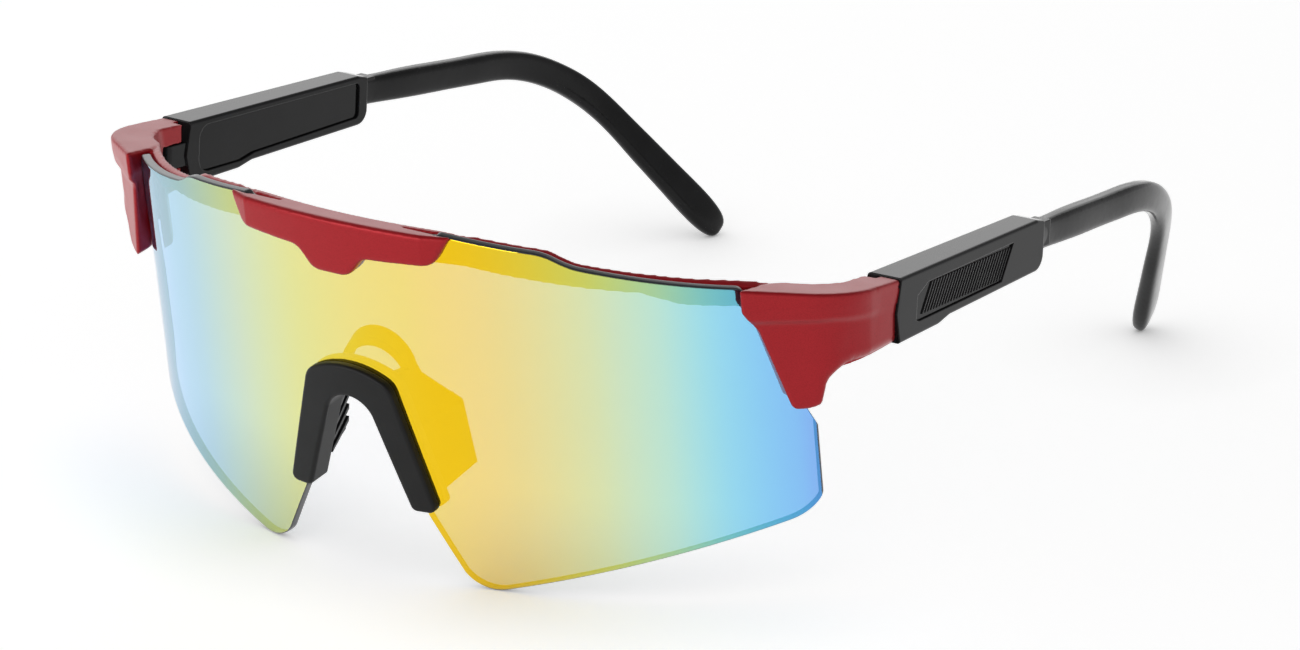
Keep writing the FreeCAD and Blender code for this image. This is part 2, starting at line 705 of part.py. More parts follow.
bar = bent_sheet("BrowBar", bar_rear, slot_rear, brow_low, brow_high, both_sides([
    ("0", "bar_middle_height"),
    ("bar_under_half", "bar_under_height"),
    ("bar_slope_half", "bar_slope_height"),
    ("bar_drop_half", "bar_drop_height"),
    ("rear_wall_half", "bar_end_height"),
    ("rear_wall_half", "claw_foot_height + lens_corner_round"),
    ("lens_end_half", "claw_foot_height"),
    ("rear_wall_end_half", "claw_foot_height"),
    ("rear_wall_end_half", "armpit_height + armpit_round"),
    ("hollow_half - lens_edge_gap", "armpit_height + armpit_round"),
    ("hollow_half - lens_edge_gap", "lens_end_top_height"),
    ("lens_brow_half", "lens_brow_height - bar_sink"),
    ("lens_step_low_half - bar_step_inset", "lens_step_low_height - bar_sink"),
    ("lens_step_high_half - bar_step_inset", "lens_step_high_height - bar_sink"),
    ("bridge_half", "lens_crown_height - bar_sink"),
    ("bridge_half", "plate_top_height"),
]))
round_edges(bar, "BrowBarSteps", "lens_step_round", lambda middle, run: along_depth(run)
            and size("lens_crown_half") < abs(middle.x) < size("bar_slope_half")
            and middle.z > size("lens_step_low_height - 2 * bar_sink"))

plate = bent_sheet("BrowPlate", slot_front, plate_front, brow_low, brow_high, both_sides([
    ("0", "tab_low_height"),
    ("tab_low_half", "tab_low_height"),
    ("tab_top_half", "tab_top_height"),
    ("plate_low_half", "plate_low_height"),
    ("plate_corner_half", "plate_corner_height"),
    ("bridge_half", "plate_top_height"),
]))
round_edges(plate, "BrowPlateCorners", "plate_low_round", lambda middle, run: along_depth(run)
            and near(abs(middle.x), "plate_low_half") and near(middle.z, "plate_low_height"))
round_edges(plate, "BrowPlateTab", "tab_round", lambda middle, run: along_depth(run)
            and middle.z < size("plate_low_height") and abs(middle.x) < size("tab_top_half + tab_round"))


def brow_top_cut(body, name):
    """The sloping top of the brow, as an outline seen from the side of what lies above it."""
    side = sketch_on(body, "YZ_Plane", name)
    fall = "brow_top_height - (%s) * tan(brow_top_slope * 1 deg)"
    outline(side, [
        ("-plate_depth - overrun", fall % "-plate_depth - overrun"),
        ("bar_drop_half", fall % "bar_drop_half"),
        ("bar_drop_half", "%s + overrun" % brow_high),
        ("-plate_depth - overrun", "%s + overrun" % brow_high),
    ])
    return side


pocket(plate, brow_top_cut(plate, "BrowPlateTop"), "2 * plate_corner_half + overrun", both=True)
round_edges(plate, "BrowPlateEdges", "plate_edge_round",
            lambda middle, run: near(from_axis(middle), plate_front, "groove_clearance"))

bridge_front = "%s - plate_depth / 2" % plate_front
bridge = bent_sheet("BrowBridge", bar_rear, bridge_front, brow_low, brow_high, both_sides([
    ("0", "plate_corner_height - bridge_depth"),
    ("bridge_half", "plate_corner_height - bridge_depth"),
    ("bridge_half", "plate_top_height"),
]))
brow_top = new_body("BrowTop")
pad(brow_top, brow_top_cut(brow_top, "BrowTopSide"), "2 * plate_corner_half + overrun", both=True)
brow_top.Placement = front_place

end_piece = new_body("EndPiece")
plan = sketch_on(end_piece, "XY_Plane", "EndPiecePlan", brow_low)
outline(plan, [
    ("claw_lead_half", "claw_lead_depth"),
    ("corner_start_half", "corner_start_depth"),
    ("corner_end_half", "corner_end_depth", "corner_round", 1),
    ("seam_half", "block_rear_depth"),
    ("cheek_half", "block_rear_depth"),
    ("cheek_half", "cheek_depth"),
    ("hollow_half", "lens_radius - sqrt((%s)^2 - hollow_half^2)" % bar_rear, "hollow_round", -1),
    ("rear_wall_half", "lens_radius - sqrt((%s)^2 - rear_wall_half^2)" % bar_rear, bar_rear, -1),
])
pad(end_piece, plan, "%s - (%s)" % (brow_high, brow_low))
side = sketch_on(end_piece, "YZ_Plane", "EndPieceSide")
outline(side, [
    ("0", brow_low + " - overrun"),
    ("block_rear_depth + overrun", brow_low + " - overrun"),
    ("block_rear_depth + overrun", brow_high + " + overrun"),
    ("0", brow_high + " + overrun"),
])
outline(side, [
    ("block_front_depth", "claw_foot_height"),
    ("claw_heel_depth", "claw_foot_height"),
    ("armpit_depth", "armpit_height"),
    ("block_rear_depth + block_edge", "block_under_rear_height"),
    ("block_rear_depth + block_edge", "block_top_rear_height"),
    ("block_front_depth", "block_top_front_height"),
])
pocket(end_piece, side, "4 * lens_radius", both=True)
claw = sketch_on(end_piece, "XZ_Plane", "EndPieceClaw")
outline(claw, [
    ("claw_lead_half - overrun", brow_low),
    ("claw_tip_half", brow_low),
    ("claw_tip_half", "claw_foot_height"),
    ("claw_notch_half", "claw_notch_height"),
    ("claw_top_half", "claw_brow_height"),
    ("claw_top_half", brow_high),
    ("claw_lead_half - overrun", brow_high),
])
pocket(end_piece, claw, "4 * lens_radius", both=True)


claw_run = "sqrt((corner_start_half - claw_lead_half)^2 + (corner_start_depth - claw_lead_depth)^2)"
claw_way = ("(corner_start_depth - claw_lead_depth) / %s" % claw_run,
            "(claw_lead_half - corner_start_half) / %s" % claw_run)
# Along the outer face: place, direction outwards, height of the crease and how far the foot leans in
LEAN_STATIONS = [
    ("claw_lead_half", "claw_lead_depth", claw_way, "crease_front_height", "lean_front"),
    ("corner_start_half", "corner_start_depth", claw_way, "crease_front_height", "lean_front"),
    ("corner_end_half", "corner_end_depth", ("1", "0"), "crease_corner_height", "lean_corner"),
    ("seam_half", "block_rear_depth", ("1", "0"), "crease_rear_height", "lean_rear"),
]


def lean_strip(name, height):
    """What lies outside the leaning face at a height, as an outline seen from above."""
    strip = sketch_on(end_piece, "XY_Plane", name, height)
    corners = []
    for across, back, way, crease, lean in LEAN_STATIONS:
        inset = "%s * (%s - (%s)) / (%s - (%s))" % (lean, crease, height, crease, brow_low)
        corners.append(("%s - (%s) * %s" % (across, way[0], inset), "%s - (%s) * %s" % (back, way[1], inset)))
    corners[2] += ("corner_round", 1)
    corners.append(("corner_end_half + 4 * overrun", "block_rear_depth"))
    corners.append(("corner_end_half + 4 * overrun", "claw_lead_depth - 4 * overrun"))
    corners.append(("claw_lead_half - overrun", "claw_lead_depth - 4 * overrun"))
    outline(strip, corners)
    return strip


lean = end_piece.newObject("PartDesign::SubtractiveLoft", "EndPieceLean")
lean.Profile = lean_strip("LeanFoot", brow_low)
lean.Sections = [lean_strip("LeanTop", brow_high)]
lean.Ruled = True
doc.recompute()


def on_skin(middle, way):
    """True for a face on the outer side of the end piece."""
    out = FreeCAD.Vector(middle.x, middle.y - size("lens_radius"), 0)
    outside = middle.x > size("lens_side_half") or from_axis(middle) > size(slot_front)
    return outside and way.dot(out) > out.Length * OUTWARD_SHARE


def behind_claw(middle, way):
    return middle.y > size("claw_heel_depth - claw_heel_round") and way.z < 0


round_edges(end_piece, "ClawHeel", "claw_heel_round", lambda middle, run: along_width(run)
            and near(middle.y, "claw_heel_depth") and near(middle.z, "claw_foot_height"))
round_edges(end_piece, "Armpit", "armpit_round", lambda middle, run: along_width(run)
            and near(middle.y, "armpit_depth") and near(middle.z, "armpit_height"))
round_edges(end_piece, "ClawNotch", "claw_notch_round", lambda middle, run: along_depth(run)
            and (near(middle.x, "claw_notch_half") or near(middle.x, "claw_top_half"))
            and middle.z < size("claw_brow_height + lens_edge_gap"))
round_border(end_piece, "EndPieceUnder", "block_under_round", on_skin, behind_claw)
round_border(end_piece, "EndPieceSkin", "block_edge_round", on_skin,
             lambda middle, way: not behind_claw(middle, way) and middle.y < size("block_rear_depth"))
claw_tip = sketch_on(end_piece, "XZ_Plane", "ClawTip")
outline(claw_tip, [
    ("claw_tip_half - overrun", "claw_foot_height - overrun"),
    ("claw_tip_half + claw_tip_cut + overrun", "claw_foot_height - overrun"),
    ("claw_tip_half - overrun", "claw_foot_height + claw_tip_cut + overrun"),
])
pocket(end_piece, claw_tip, "4 * lens_radius", both=True)
end_piece.Placement = front_place

lens_slot = bent_sheet("LensSlot", slot_rear, slot_front, "-2 * overrun", brow_high,
                       lens_outline("lens_edge_gap"))


def mirrored(name, source):
    other = doc.addObject("Part::Mirroring", name)
    other.Source = source
    other.Normal = FreeCAD.Vector(1, 0, 0)
    return other


def joined(name, shapes):
    result = doc.addObject("Part::MultiFuse", name)
    result.Shapes = shapes
    return result


def cut_from(name, base, tool):
    result = doc.addObject("Part::Cut", name)
    result.Base = base
    result.Tool = tool
    return result


# Hinge, in the temple's own directions: X outwards, Y backwards along the sleeve and Z up
pin_y = "-pin_forward"
pin_x = "-pin_inward"


def seam_edge(gap):
    """Front end of the sleeve from its foot to its top, bulged forwards; gap is the clearance before it."""
    return [
        ("sleeve_front_rake - (%s)" % gap, "-sleeve_front_height"),
        ("-seam_bulge - (%s)" % gap, "-seam_bulge_depth"),
        ("-(%s)" % gap, "0"),
    ]


hinge_room = new_body("HingeRoom")
seam_cut = sketch_on(hinge_room, "YZ_Plane", "SeamCut", "-4 * sleeve_thickness")
foot, bulge, head = seam_edge("seam_clearance")
outline(seam_cut, [
    (foot[0], "-sleeve_front_height - overrun"), foot, bulge, head, (head[0], "overrun"),
    ("sleeve_step_end", "overrun"), ("sleeve_step_end", "-sleeve_front_height - overrun"),
])
pad(hinge_room, seam_cut, "5 * sleeve_thickness")
lug_end = sketch_on(hinge_room, "XY_Plane", "LugEnd", "-sleeve_front_height - overrun")
outline(lug_end, [
    ("-4 * sleeve_thickness", "lug_rear_length - pin_forward"),
    ("%s" % pin_x, "lug_rear_length - pin_forward"),
    ("%s" % pin_x, "sleeve_front_rake"),
    ("-4 * sleeve_thickness", "sleeve_front_rake"),
])
pad(hinge_room, lug_end, "sleeve_front_height + 2 * overrun")
tongue_room = sketch_on(hinge_room, "XY_Plane", "TongueRoom", "-tongue_low_depth - tongue_clearance")
swing = "tongue_round + tongue_clearance"
outline(tongue_room, [
    ("-4 * sleeve_thickness", "%s - (%s)" % (pin_y, swing)),
    (pin_x, "%s - (%s)" % (pin_y, swing)),
    ("%s + %s" % (pin_x, swing), pin_y, swing, 1),
    ("%s + %s" % (pin_x, swing), "sleeve_front_rake"),
    ("-4 * sleeve_thickness", "sleeve_front_rake"),
])
pad(hinge_room, tongue_room, "tongue_low_depth - tongue_top_depth + 2 * tongue_clearance")
hinge_room.Placement = temple_place


def screw_solid(name, slotted):
    """The screw that is the hinge pin, head down; without its slot it is also the shape of its hole."""
    body = new_body(name)
    shank = sketch_on(body, "XY_Plane", name + "Shank", "-screw_seat_depth")
    circle(shank, pin_x, pin_y, "pin_radius")
    pad(body, shank, "screw_seat_depth - pin_top_depth")
    cap = sketch_on(body, "XY_Plane", name + "Cap", "-screw_seat_depth")
    circle(cap, pin_x, pin_y, "screw_head_radius")
    pad(body, cap, "screw_head_height" if slotted else "screw_head_height + overrun", reverse=True)
    if slotted:
        slot = sketch_on(body, "XY_Plane", name + "Slot", "-screw_seat_depth - screw_head_height")
        wide = "screw_head_radius + overrun"
        outline(slot, [
            ("%s - (%s)" % (pin_x, wide), "%s - screw_slot_width / 2" % pin_y),
            ("%s + %s" % (pin_x, wide), "%s - screw_slot_width / 2" % pin_y),
            ("%s + %s" % (pin_x, wide), "%s + screw_slot_width / 2" % pin_y),
            ("%s - (%s)" % (pin_x, wide), "%s + screw_slot_width / 2" % pin_y),
        ])
        pocket(body, slot, "screw_slot_depth", reverse=True)
    body.Placement = temple_place
    return body


left_screw = screw_solid("LeftHingeScrew", True)
left_screw.Label = "left_hinge_screw"
screw_hole = screw_solid("ScrewHole", False)

brow = cut_from("Brow", joined("BrowSolid", [bar, bridge]), brow_top)
front_solid = joined("FrontSolid", [brow, plate, end_piece, mirrored("RightEndPiece", end_piece)])
front_room = joined("FrontRoom", [lens_slot, hinge_room, mirrored("RightHingeRoom", hinge_room),
                                  screw_hole, mirrored("RightScrewHole", screw_hole)])
front_frame = cut_from("FrontFrame", front_solid, front_room)
front_frame.Label = "front_frame"
doc.recompute()

# Sleeve: outer shell of the temple, open on the inner side
sleeve = new_body("LeftSleeve")
side = sketch_on(sleeve, "YZ_Plane", "SleeveSide")
foot, bulge, head = seam_edge("0")
outline(side, [
    foot,
    ("sleeve_step_start", "-sleeve_step_start_height"),
    ("sleeve_step_end", "-sleeve_step_end_height"),
    ("sleeve_length", "-sleeve_rear_height"),
    ("sleeve_length", "-sleeve_rear_drop"),
    ("sleeve_length - sleeve_rear_slope", "0"),
    head, bulge,
])
pad(sleeve, side, "sleeve_thickness", reverse=True)
taper = sketch_on(sleeve, "XY_Plane", "SleeveTaper")
outline(taper, [
    ("0", "0"),
    ("overrun", "-overrun"),
    ("overrun", "sleeve_length + overrun"),
    ("-(sleeve_length + overrun) * tan(sleeve_taper * 1 deg)", "sleeve_length + overrun"),
])
pocket(sleeve, taper, "4 * sleeve_front_height", both=True)
round_edges(sleeve, "SleeveRearFoot", "sleeve_rear_round", lambda middle, run: along_width(run)
            and near(middle.y, "sleeve_length") and near(middle.z, "-sleeve_rear_height"))
round_edges(sleeve, "SleeveSteps", "sleeve_rear_round", lambda middle, run: along_width(run)
            and (near(middle.y, "sleeve_step_start") or near(middle.y, "sleeve_step_end")))
round_edges(sleeve, "SleeveRearHead", "sleeve_edge_round", lambda middle, run: along_width(run)
            and middle.y > size("sleeve_length - sleeve_rear_slope - overrun")
            and middle.z > -size("sleeve_rear_drop + lens_edge_gap"))
round_edges(sleeve, "SleeveEdges", "sleeve_edge_round",
            lambda middle, run: not along_width(run) and middle.y > size("seam_bulge"))

cover_floor = "-sleeve_thickness + cover_recess + cover_thickness"
stem_in = cover_floor
stem_out = "%s + stem_thickness + 2 * stem_clearance" % cover_floor


def cover_outline(inset):
    return [
        ("cover_front + (%s)" % inset, "-cover_front_low_depth + (%s)" % inset),
        ("cover_step_start", "-cover_step_start_depth + (%s)" % inset),
        ("cover_step_end", "-cover_step_end_depth + (%s)" % inset),
        ("cover_rear - (%s)" % inset, "-cover_rear_low_depth + (%s)" % inset),
        ("cover_rear - (%s)" % inset, "-cover_top_depth - (%s)" % inset),
        ("cover_front + (%s)" % inset, "-cover_top_depth - (%s)" % inset),
    ]


rebate = sketch_on(sleeve, "YZ_Plane", "CoverRebate", "-sleeve_thickness")
outline(rebate, cover_outline("0"))
pocket(sleeve, rebate, "cover_recess + cover_thickness", reverse=True)
round_edges(sleeve, "CoverRebateFront", "cover_front_round", lambda middle, run: along_width(run)
            and near(middle.y, "cover_front") and middle.x < 0)
round_edges(sleeve, "CoverRebateRear", "cover_rear_round", lambda middle, run: along_width(run)
            and near(middle.y, "cover_rear") and middle.x < 0)
channel = sketch_on(sleeve, "XZ_Plane", "StemChannel", "-stem_front + stem_clearance")
outline(channel, [
    (stem_in, "-stem_low_depth - stem_clearance"),
    (stem_out, "-stem_low_depth - stem_clearance"),
    (stem_out, "-stem_top_depth + stem_clearance"),
    (stem_in, "-stem_top_depth + stem_clearance"),
])
pocket(sleeve, channel, "sleeve_length + overrun - stem_front", reverse=False)
rooms = sketch_on(sleeve, "YZ_Plane", "StopAndSpringRoom", cover_floor)
outline(rooms, [
    ("stem_front - stem_clearance", "-stop_depth - stem_clearance"),
    ("stem_front + stop_length + slide_travel + stem_clearance", "-stop_depth - stem_clearance"),
    ("stem_front + stop_length + slide_travel + stem_clearance", "-stem_top_depth"),
    ("stem_front - stem_clearance", "-stem_top_depth"),
])
outline(rooms, [
    ("spring_front - spring_end_gap", "-spring_floor_depth"),
    ("spring_rear + spring_end_gap", "-spring_floor_depth"),
    ("spring_rear + spring_end_gap", "-stem_top_depth"),
    ("spring_front - spring_end_gap", "-stem_top_depth"),
])
pocket(sleeve, rooms, "stem_thickness + 2 * stem_clearance", reverse=True)
recess = sketch_on(sleeve, "YZ_Plane", "InlayRecess")


def lay_on_taper(drawing):
    """Turns a sketch of the sleeve's side so that it lies on the tapered outer face."""
    drawing.AttachmentOffset = FreeCAD.Placement(
        FreeCAD.Vector(0, 0, 0), FreeCAD.Rotation(FreeCAD.Vector(0, 1, 0), size("sleeve_taper")))
    drawing.setExpression("AttachmentOffset.Rotation.Angle", link("sleeve_taper"))


def inlay_outline(inset):
    return [
        ("inlay_front + (%s)" % inset, "-inlay_front_low_depth + (%s)" % inset),
        ("inlay_heel + (%s)" % inset, "-inlay_heel_depth + (%s)" % inset),
        ("inlay_tail_low - (%s)" % inset, "-inlay_tail_low_depth + (%s)" % inset),
        ("inlay_tail_top - 2 * (%s)" % inset, "-inlay_tail_top_depth - (%s)" % inset),
        ("inlay_nose + (%s)" % inset, "-inlay_nose_depth - (%s)" % inset),
        ("inlay_front + (%s)" % inset, "-inlay_front_top_depth - (%s)" % inset),
    ]


lay_on_taper(recess)
outline(recess, inlay_outline("0"))
pocket(sleeve, recess, "inlay_recess")
tongue = sketch_on(sleeve, "XY_Plane", "HingeTongue", "-tongue_low_depth")
outline(tongue, [
    ("%s + tongue_round" % pin_x, "sleeve_front_rake + seam_bulge"),
    ("%s - tongue_round" % pin_x, "sleeve_front_rake + seam_bulge"),
    ("%s - tongue_round" % pin_x, pin_y),
    (pin_x, "%s - tongue_round" % pin_y, "tongue_round", 1),
    ("%s + tongue_round" % pin_x, pin_y, "tongue_round", 1),
])
pad(sleeve, tongue, "tongue_low_depth - tongue_top_depth")
eye = sketch_on(sleeve, "XY_Plane", "HingeEye", "-tongue_low_depth - overrun")
circle(eye, pin_x, pin_y, "pin_radius + pin_clearance")
pocket(sleeve, eye, "tongue_low_depth + overrun", reverse=True)
sleeve.Placement = temple_place
sleeve.Label = "left_sleeve"

# Cover of the sleeve
cover = new_body("LeftSleeveCover")
side = sketch_on(cover, "YZ_Plane", "CoverSide", cover_floor)
outline(side, cover_outline("cover_clearance"))
pad(cover, side, "cover_thickness", reverse=True)
round_edges(cover, "CoverFront", "cover_front_round", lambda middle, run: along_width(run)
            and near(middle.y, "cover_front + cover_clearance"))
round_edges(cover, "CoverRear", "cover_rear_round", lambda middle, run: along_width(run)
            and near(middle.y, "cover_rear - cover_clearance"))
cover.Placement = temple_place
cover.Label = "left_sleeve_cover"

# Inlay: a thin plate in the outer recess with slanted ribs
inlay = new_body("LeftInlay")
base = sketch_on(inlay, "YZ_Plane", "InlayBase")
lay_on_taper(base)
base.setExpression("AttachmentOffset.Base.z", link("-inlay_recess"))
outline(base, inlay_outline("inlay_clearance"))
pad(inlay, base, "inlay_thickness")
ribs = sketch_on(inlay, "YZ_Plane", "InlayRibs")
lay_on_taper(ribs)
ribs.setExpression("AttachmentOffset.Base.z", link("inlay_thickness / 2 - inlay_recess"))
outline(ribs, [
    ("rib_start - rib_width", "-rib_top_depth"),
    ("rib_start - rib_width - rib_lean", "-rib_low_depth"),
    ("rib_start - rib_lean", "-rib_low_depth"),
    ("rib_start", "-rib_top_depth"),
])
rib = pad(inlay, ribs, "inlay_thickness / 2 + rib_height")
rib_row = inlay.newObject("PartDesign::LinearPattern", "InlayRibRow")
rib_row.Originals = [rib]
rib_row.Direction = (ribs, ["H_Axis"])
rib_row.Reversed = True
rib_row.Occurrences = RIB_COUNT
rib_row.setExpression("Length", link("rib_pitch * %d" % (RIB_COUNT - 1)))
inlay.Tip = rib_row
doc.recompute()
inlay.Placement = temple_place
inlay.Label = "left_inlay"

# Detent spring: a bent steel leaf on the floor of its room, with a click that enters the arm's notches
spring = new_body("LeftDetentSpring")
stem_middle = "(%s + %s) / 2" % (stem_in, stem_out)
side = sketch_on(spring, "YZ_Plane", "SpringSide", "%s - spring_width / 2" % stem_middle)
click = "-spring_rise_depth + spring_thickness + spring_click_height"
outline(side, [
    ("spring_front", "-spring_floor_depth"),
    ("spring_front + spring_foot", "-spring_floor_depth"),
    ("notch_rear - spring_click_half", "-spring_rise_depth - spring_thickness"),
    ("notch_rear + spring_click_half", "-spring_rise_depth - spring_thickness"),
    ("spring_rear - spring_foot", "-spring_floor_depth"),
    ("spring_rear", "-spring_floor_depth"),
    ("spring_rear", "-spring_floor_depth + spring_thickness"),
    ("spring_rear - spring_foot", "-spring_floor_depth + spring_thickness"),
    ("notch_rear + spring_click_half", "-spring_rise_depth"),
    ("notch_rear", click),
    ("notch_rear - spring_click_half", "-spring_rise_depth"),
    ("spring_front + spring_foot", "-spring_floor_depth + spring_thickness"),
    ("spring_front", "-spring_floor_depth + spring_thickness"),
])
pad(spring, side, "spring_width")
spring.Placement = temple_place
spring.Label = "left_detent_spring"

# Arm: a notched stem in the sleeve, a straight run, a bend and a lofted ear end
stem = new_body("ArmStem")
side = sketch_on(stem, "YZ_Plane", "StemSide", "%s + stem_clearance" % stem_in)
under = [
    ("stem_front", "-stop_depth"),
    ("stem_front + stop_length", "-stop_depth"),
    ("stem_front + stop_length", "-stem_low_depth"),
]
notch_count = round(size("slide_travel / notch_pitch")) + 1
for number in range(notch_count - 1, -1, -1):
    middle = "notch_rear - %d * notch_pitch" % number
    under += [
        ("%s - notch_width / 2" % middle, "-stem_low_depth"),
        (middle, "-stem_low_depth + notch_depth"),
        ("%s + notch_width / 2" % middle, "-stem_low_depth"),
    ]
outline(side, under + [
    ("sleeve_length + arm_shoulder_gap + stem_thickness", "-stem_low_depth"),
    ("sleeve_length + arm_shoulder_gap + stem_thickness", "-stem_top_depth"),
    ("stem_front", "-stem_top_depth"),
])
pad(stem, side, "stem_thickness")
stem.Placement = temple_place


def arm_section(place, along, outwards, wide, thick):
    """A squared ellipse square to the arm: wide across it and thick towards the head."""
    outwards = outwards - along * outwards.dot(along)
    outwards.normalize()
    across = outwards.cross(along)
    points = []
    for number in range(SECTION_POINTS):
        angle = 2 * math.pi * (number + 0.5) / SECTION_POINTS
        shares = []
        for part in (math.cos(angle), math.sin(angle)):
            shares.append(math.copysign(abs(part) ** SECTION_SQUARE_SHARE, part))
        points.append(place + across * shares[0] * wide * 0.5 + outwards * shares[1] * thick * 0.5)
    ring = Part.BSplineCurve()
    ring.interpolate(points, PeriodicFlag=True)
    return Part.Wire(ring.toShape())


def arm_point(back, inward, depth):
    return FreeCAD.Vector(-size(inward), size(back), -size(depth))


shoulder = arm_point("sleeve_length + arm_shoulder_gap", "arm_centre_inward", "arm_centre_depth")
elbow = arm_point("elbow_back", "elbow_inward", "elbow_depth")
tip = arm_point("tip_back", "tip_inward", "tip_depth")
run_in = (elbow - shoulder).normalize()
run_out = (tip - elbow).normalize()
bend = run_in.getAngle(run_out)
reach = size("elbow_round") * math.tan(bend / 2)
bend_start = elbow - run_in * reach
bend_end = elbow + run_out * reach
inside = (run_out - run_in * run_out.dot(run_in)).normalize()
bend_centre = bend_start + inside * size("elbow_round")
straight = (tip - bend_end).Length
outwards = FreeCAD.Vector(1, 0, 0)
start_size = (size("arm_height"), size("arm_thickness"))
neck_size = (size("neck_width"), size("neck_thickness"))
paddle_size = (size("paddle_width"), size("paddle_thickness"))


def between_sizes(first, last, share):
    share = min(1, share)
    return [first[i] + (last[i] - first[i]) * share for i in range(2)]


sections = []
for share in RUN_SHARES:
    place = shoulder + (bend_start - shoulder) * share
    sections.append(arm_section(place, run_in, outwards, *start_size))
for share in BEND_SHARES:
    angle = bend * share
    along = run_in * math.cos(angle) + inside * math.sin(angle)
    place = bend_centre + (run_in * math.sin(angle) - inside * math.cos(angle)) * size("elbow_round")
    sections.append(arm_section(place, along, outwards, *between_sizes(start_size, neck_size, share)))
for share, keep in zip(TIP_STATION_SHARES, TIP_SIZE_SHARES):
    wide, thick = between_sizes(neck_size, paddle_size, share / TIP_STATION_SHARES[3])
    place = bend_end + run_out * straight * share
    sections.append(arm_section(place, run_out, outwards, wide * keep, thick * keep))
ear_end = doc.addObject("Part::Feature", "EarEnd")
ear_end.Shape = Part.makeLoft(sections, True, False)
ear_end.Placement = temple_place
left_arm = joined("LeftArm", [ear_end, stem])
left_arm.Label = "left_arm"
doc.recompute()

# Nose piece: a rubber band on the edge of the nose cut, wings with a rear arch, and ribs against the nose


def arch_round(half, top, shoulder):
    """Radius of the arch that spans both shoulders and reaches its top."""
    rise = "(%s - (%s))" % (top, shoulder)
    return "((%s)^2 + %s^2) / (2 * %s)" % (half, rise, rise)


def arch_band(inner, outer):
    """An upside-down U. inner and outer each give the top height, then half and height of every corner from
    the shoulder down to the foot."""
    round_in = arch_round(inner[1], inner[0], inner[2])
    round_out = arch_round(outer[1], outer[0], outer[2])
    inside = list(zip(inner[1::2], inner[2::2]))
    outside = list(zip(outer[1::2], outer[2::2]))
    shoulder = inside[0] + (round_in, -1)
    return both_sides([("0", inner[0]), shoulder] + inside[1:] + outside[::-1], (round_out, 1))


lip = bent_sheet("NoseBand", "lens_radius - lens_thickness - groove_clearance - flange_depth",
                 "lens_radius + groove_clearance + lip_depth", "0", "lip_top_height + overrun", arch_band(
                     ("lip_inner_top_height", "lip_inner_shoulder_half", "lip_inner_shoulder_height",
                      "lip_inner_foot_half", "lip_foot_height"),
                     ("lip_top_height", "lip_shoulder_half", "lip_shoulder_height",
                      "lip_foot_half", "lip_foot_height")))
round_edges(lip, "NoseBandShoulders", "lip_shoulder_round", lambda middle, run: along_depth(run)
            and near(abs(middle.x), "lip_shoulder_half") and near(middle.z, "lip_shoulder_height"))
round_edges(lip, "NoseBandFeet", "lip_foot_round", lambda middle, run: along_depth(run)
            and near(middle.z, "lip_foot_height"))
round_edges(lip, "NoseBandEdges", "lip_edge_round", lambda middle, run: near(
    from_axis(middle), "lens_radius + groove_clearance + lip_depth", "groove_clearance"))


def wing_loft(name, inward, outward):
    """A loft between the front and the rear arch of the wings, from inward to outward of their inner face."""
    body = new_body(name)
    arches = []
    for end in ("front", "rear"):
        sizes = ["wing_%s_%s" % (end, part) for part in (
            "top_height", "shoulder_half", "shoulder_height", "pad_half", "pad_height",
            "foot_half", "foot_height")]
        place = "-wing_start" if end == "front" else "-wing_end"
        arch = sketch_on(body, "XZ_Plane", name + end.title(), place)
        shifted = []
        for shift in (" - " + inward, " + " + outward):
            halves = [half + shift for half in sizes[1::2]]
            corners = [word for corner in zip(halves, sizes[2::2]) for word in corner]
            shifted.append([sizes[0] + shift] + corners)
        outline(arch, arch_band(*shifted))
        arches.append(arch)
    loft = body.newObject("PartDesign::AdditiveLoft", name + "Loft")
    loft.Profile = arches[0]
    loft.Sections = [arches[1]]
    loft.Ruled = True
    doc.recompute()
    return body


wings = wing_loft("NoseWings", "0", "wing_wall")
trim = sketch_on(wings, "YZ_Plane", "NoseWingsTrim")
far = "wing_rear_top_height + 2 * overrun"
outline(trim, [
    ("-overrun", "0"), ("wing_end + overrun", "0"), ("wing_end + overrun", far), ("-overrun", far),
])
outline(trim, [
    ("0", "wing_front_foot_height - lens_edge_gap"),
    ("wing_end", "wing_tail_low_height"),
    ("wing_end", "wing_tail_top_height"),
    ("wing_arch_tail", "wing_arch_height"),
    ("wing_arch_tail", far + " - overrun"),
    ("window_rear", far + " - overrun"),
    ("window_rear", "window_low_height"),
    ("window_front", "window_low_height"),
    ("window_front", far + " - overrun"),
    ("0", far + " - overrun"),
])
pocket(wings, trim, "4 * lens_lobe_half", both=True)
wings.Placement = front_place

nose_ribs = wing_loft("NoseRibs", "nose_rib_height", "wing_wall / 2")
between = sketch_on(nose_ribs, "YZ_Plane", "NoseRibsBetween")
outline(between, [
    ("-overrun", "0"), ("wing_end + overrun", "0"), ("wing_end + overrun", far), ("-overrun", far),
])
for number in range(NOSE_RIB_COUNT):
    low = "nose_rib_first + %d * nose_rib_pitch" % number
    outline(between, [
        ("nose_rib_front", low),
        ("wing_end - rib_height", "%s + nose_rib_climb" % low),
        ("wing_end - rib_height", "%s + nose_rib_climb + nose_rib_thickness" % low),
        ("nose_rib_front", "%s + nose_rib_thickness" % low),
    ])
pocket(nose_ribs, between, "4 * lens_lobe_half", both=True)
nose_ribs.Placement = front_place

groove = bent_sheet("NoseGroove", "lens_radius - lens_thickness - groove_clearance",
                    "lens_radius + groove_clearance", "-2 * overrun", brow_high,
                    lens_outline("groove_clearance"))
nose_piece = cut_from("NosePiece", joined("NoseSolid", [lip, wings, nose_ribs]), groove)
nose_piece.Label = "nose_piece"

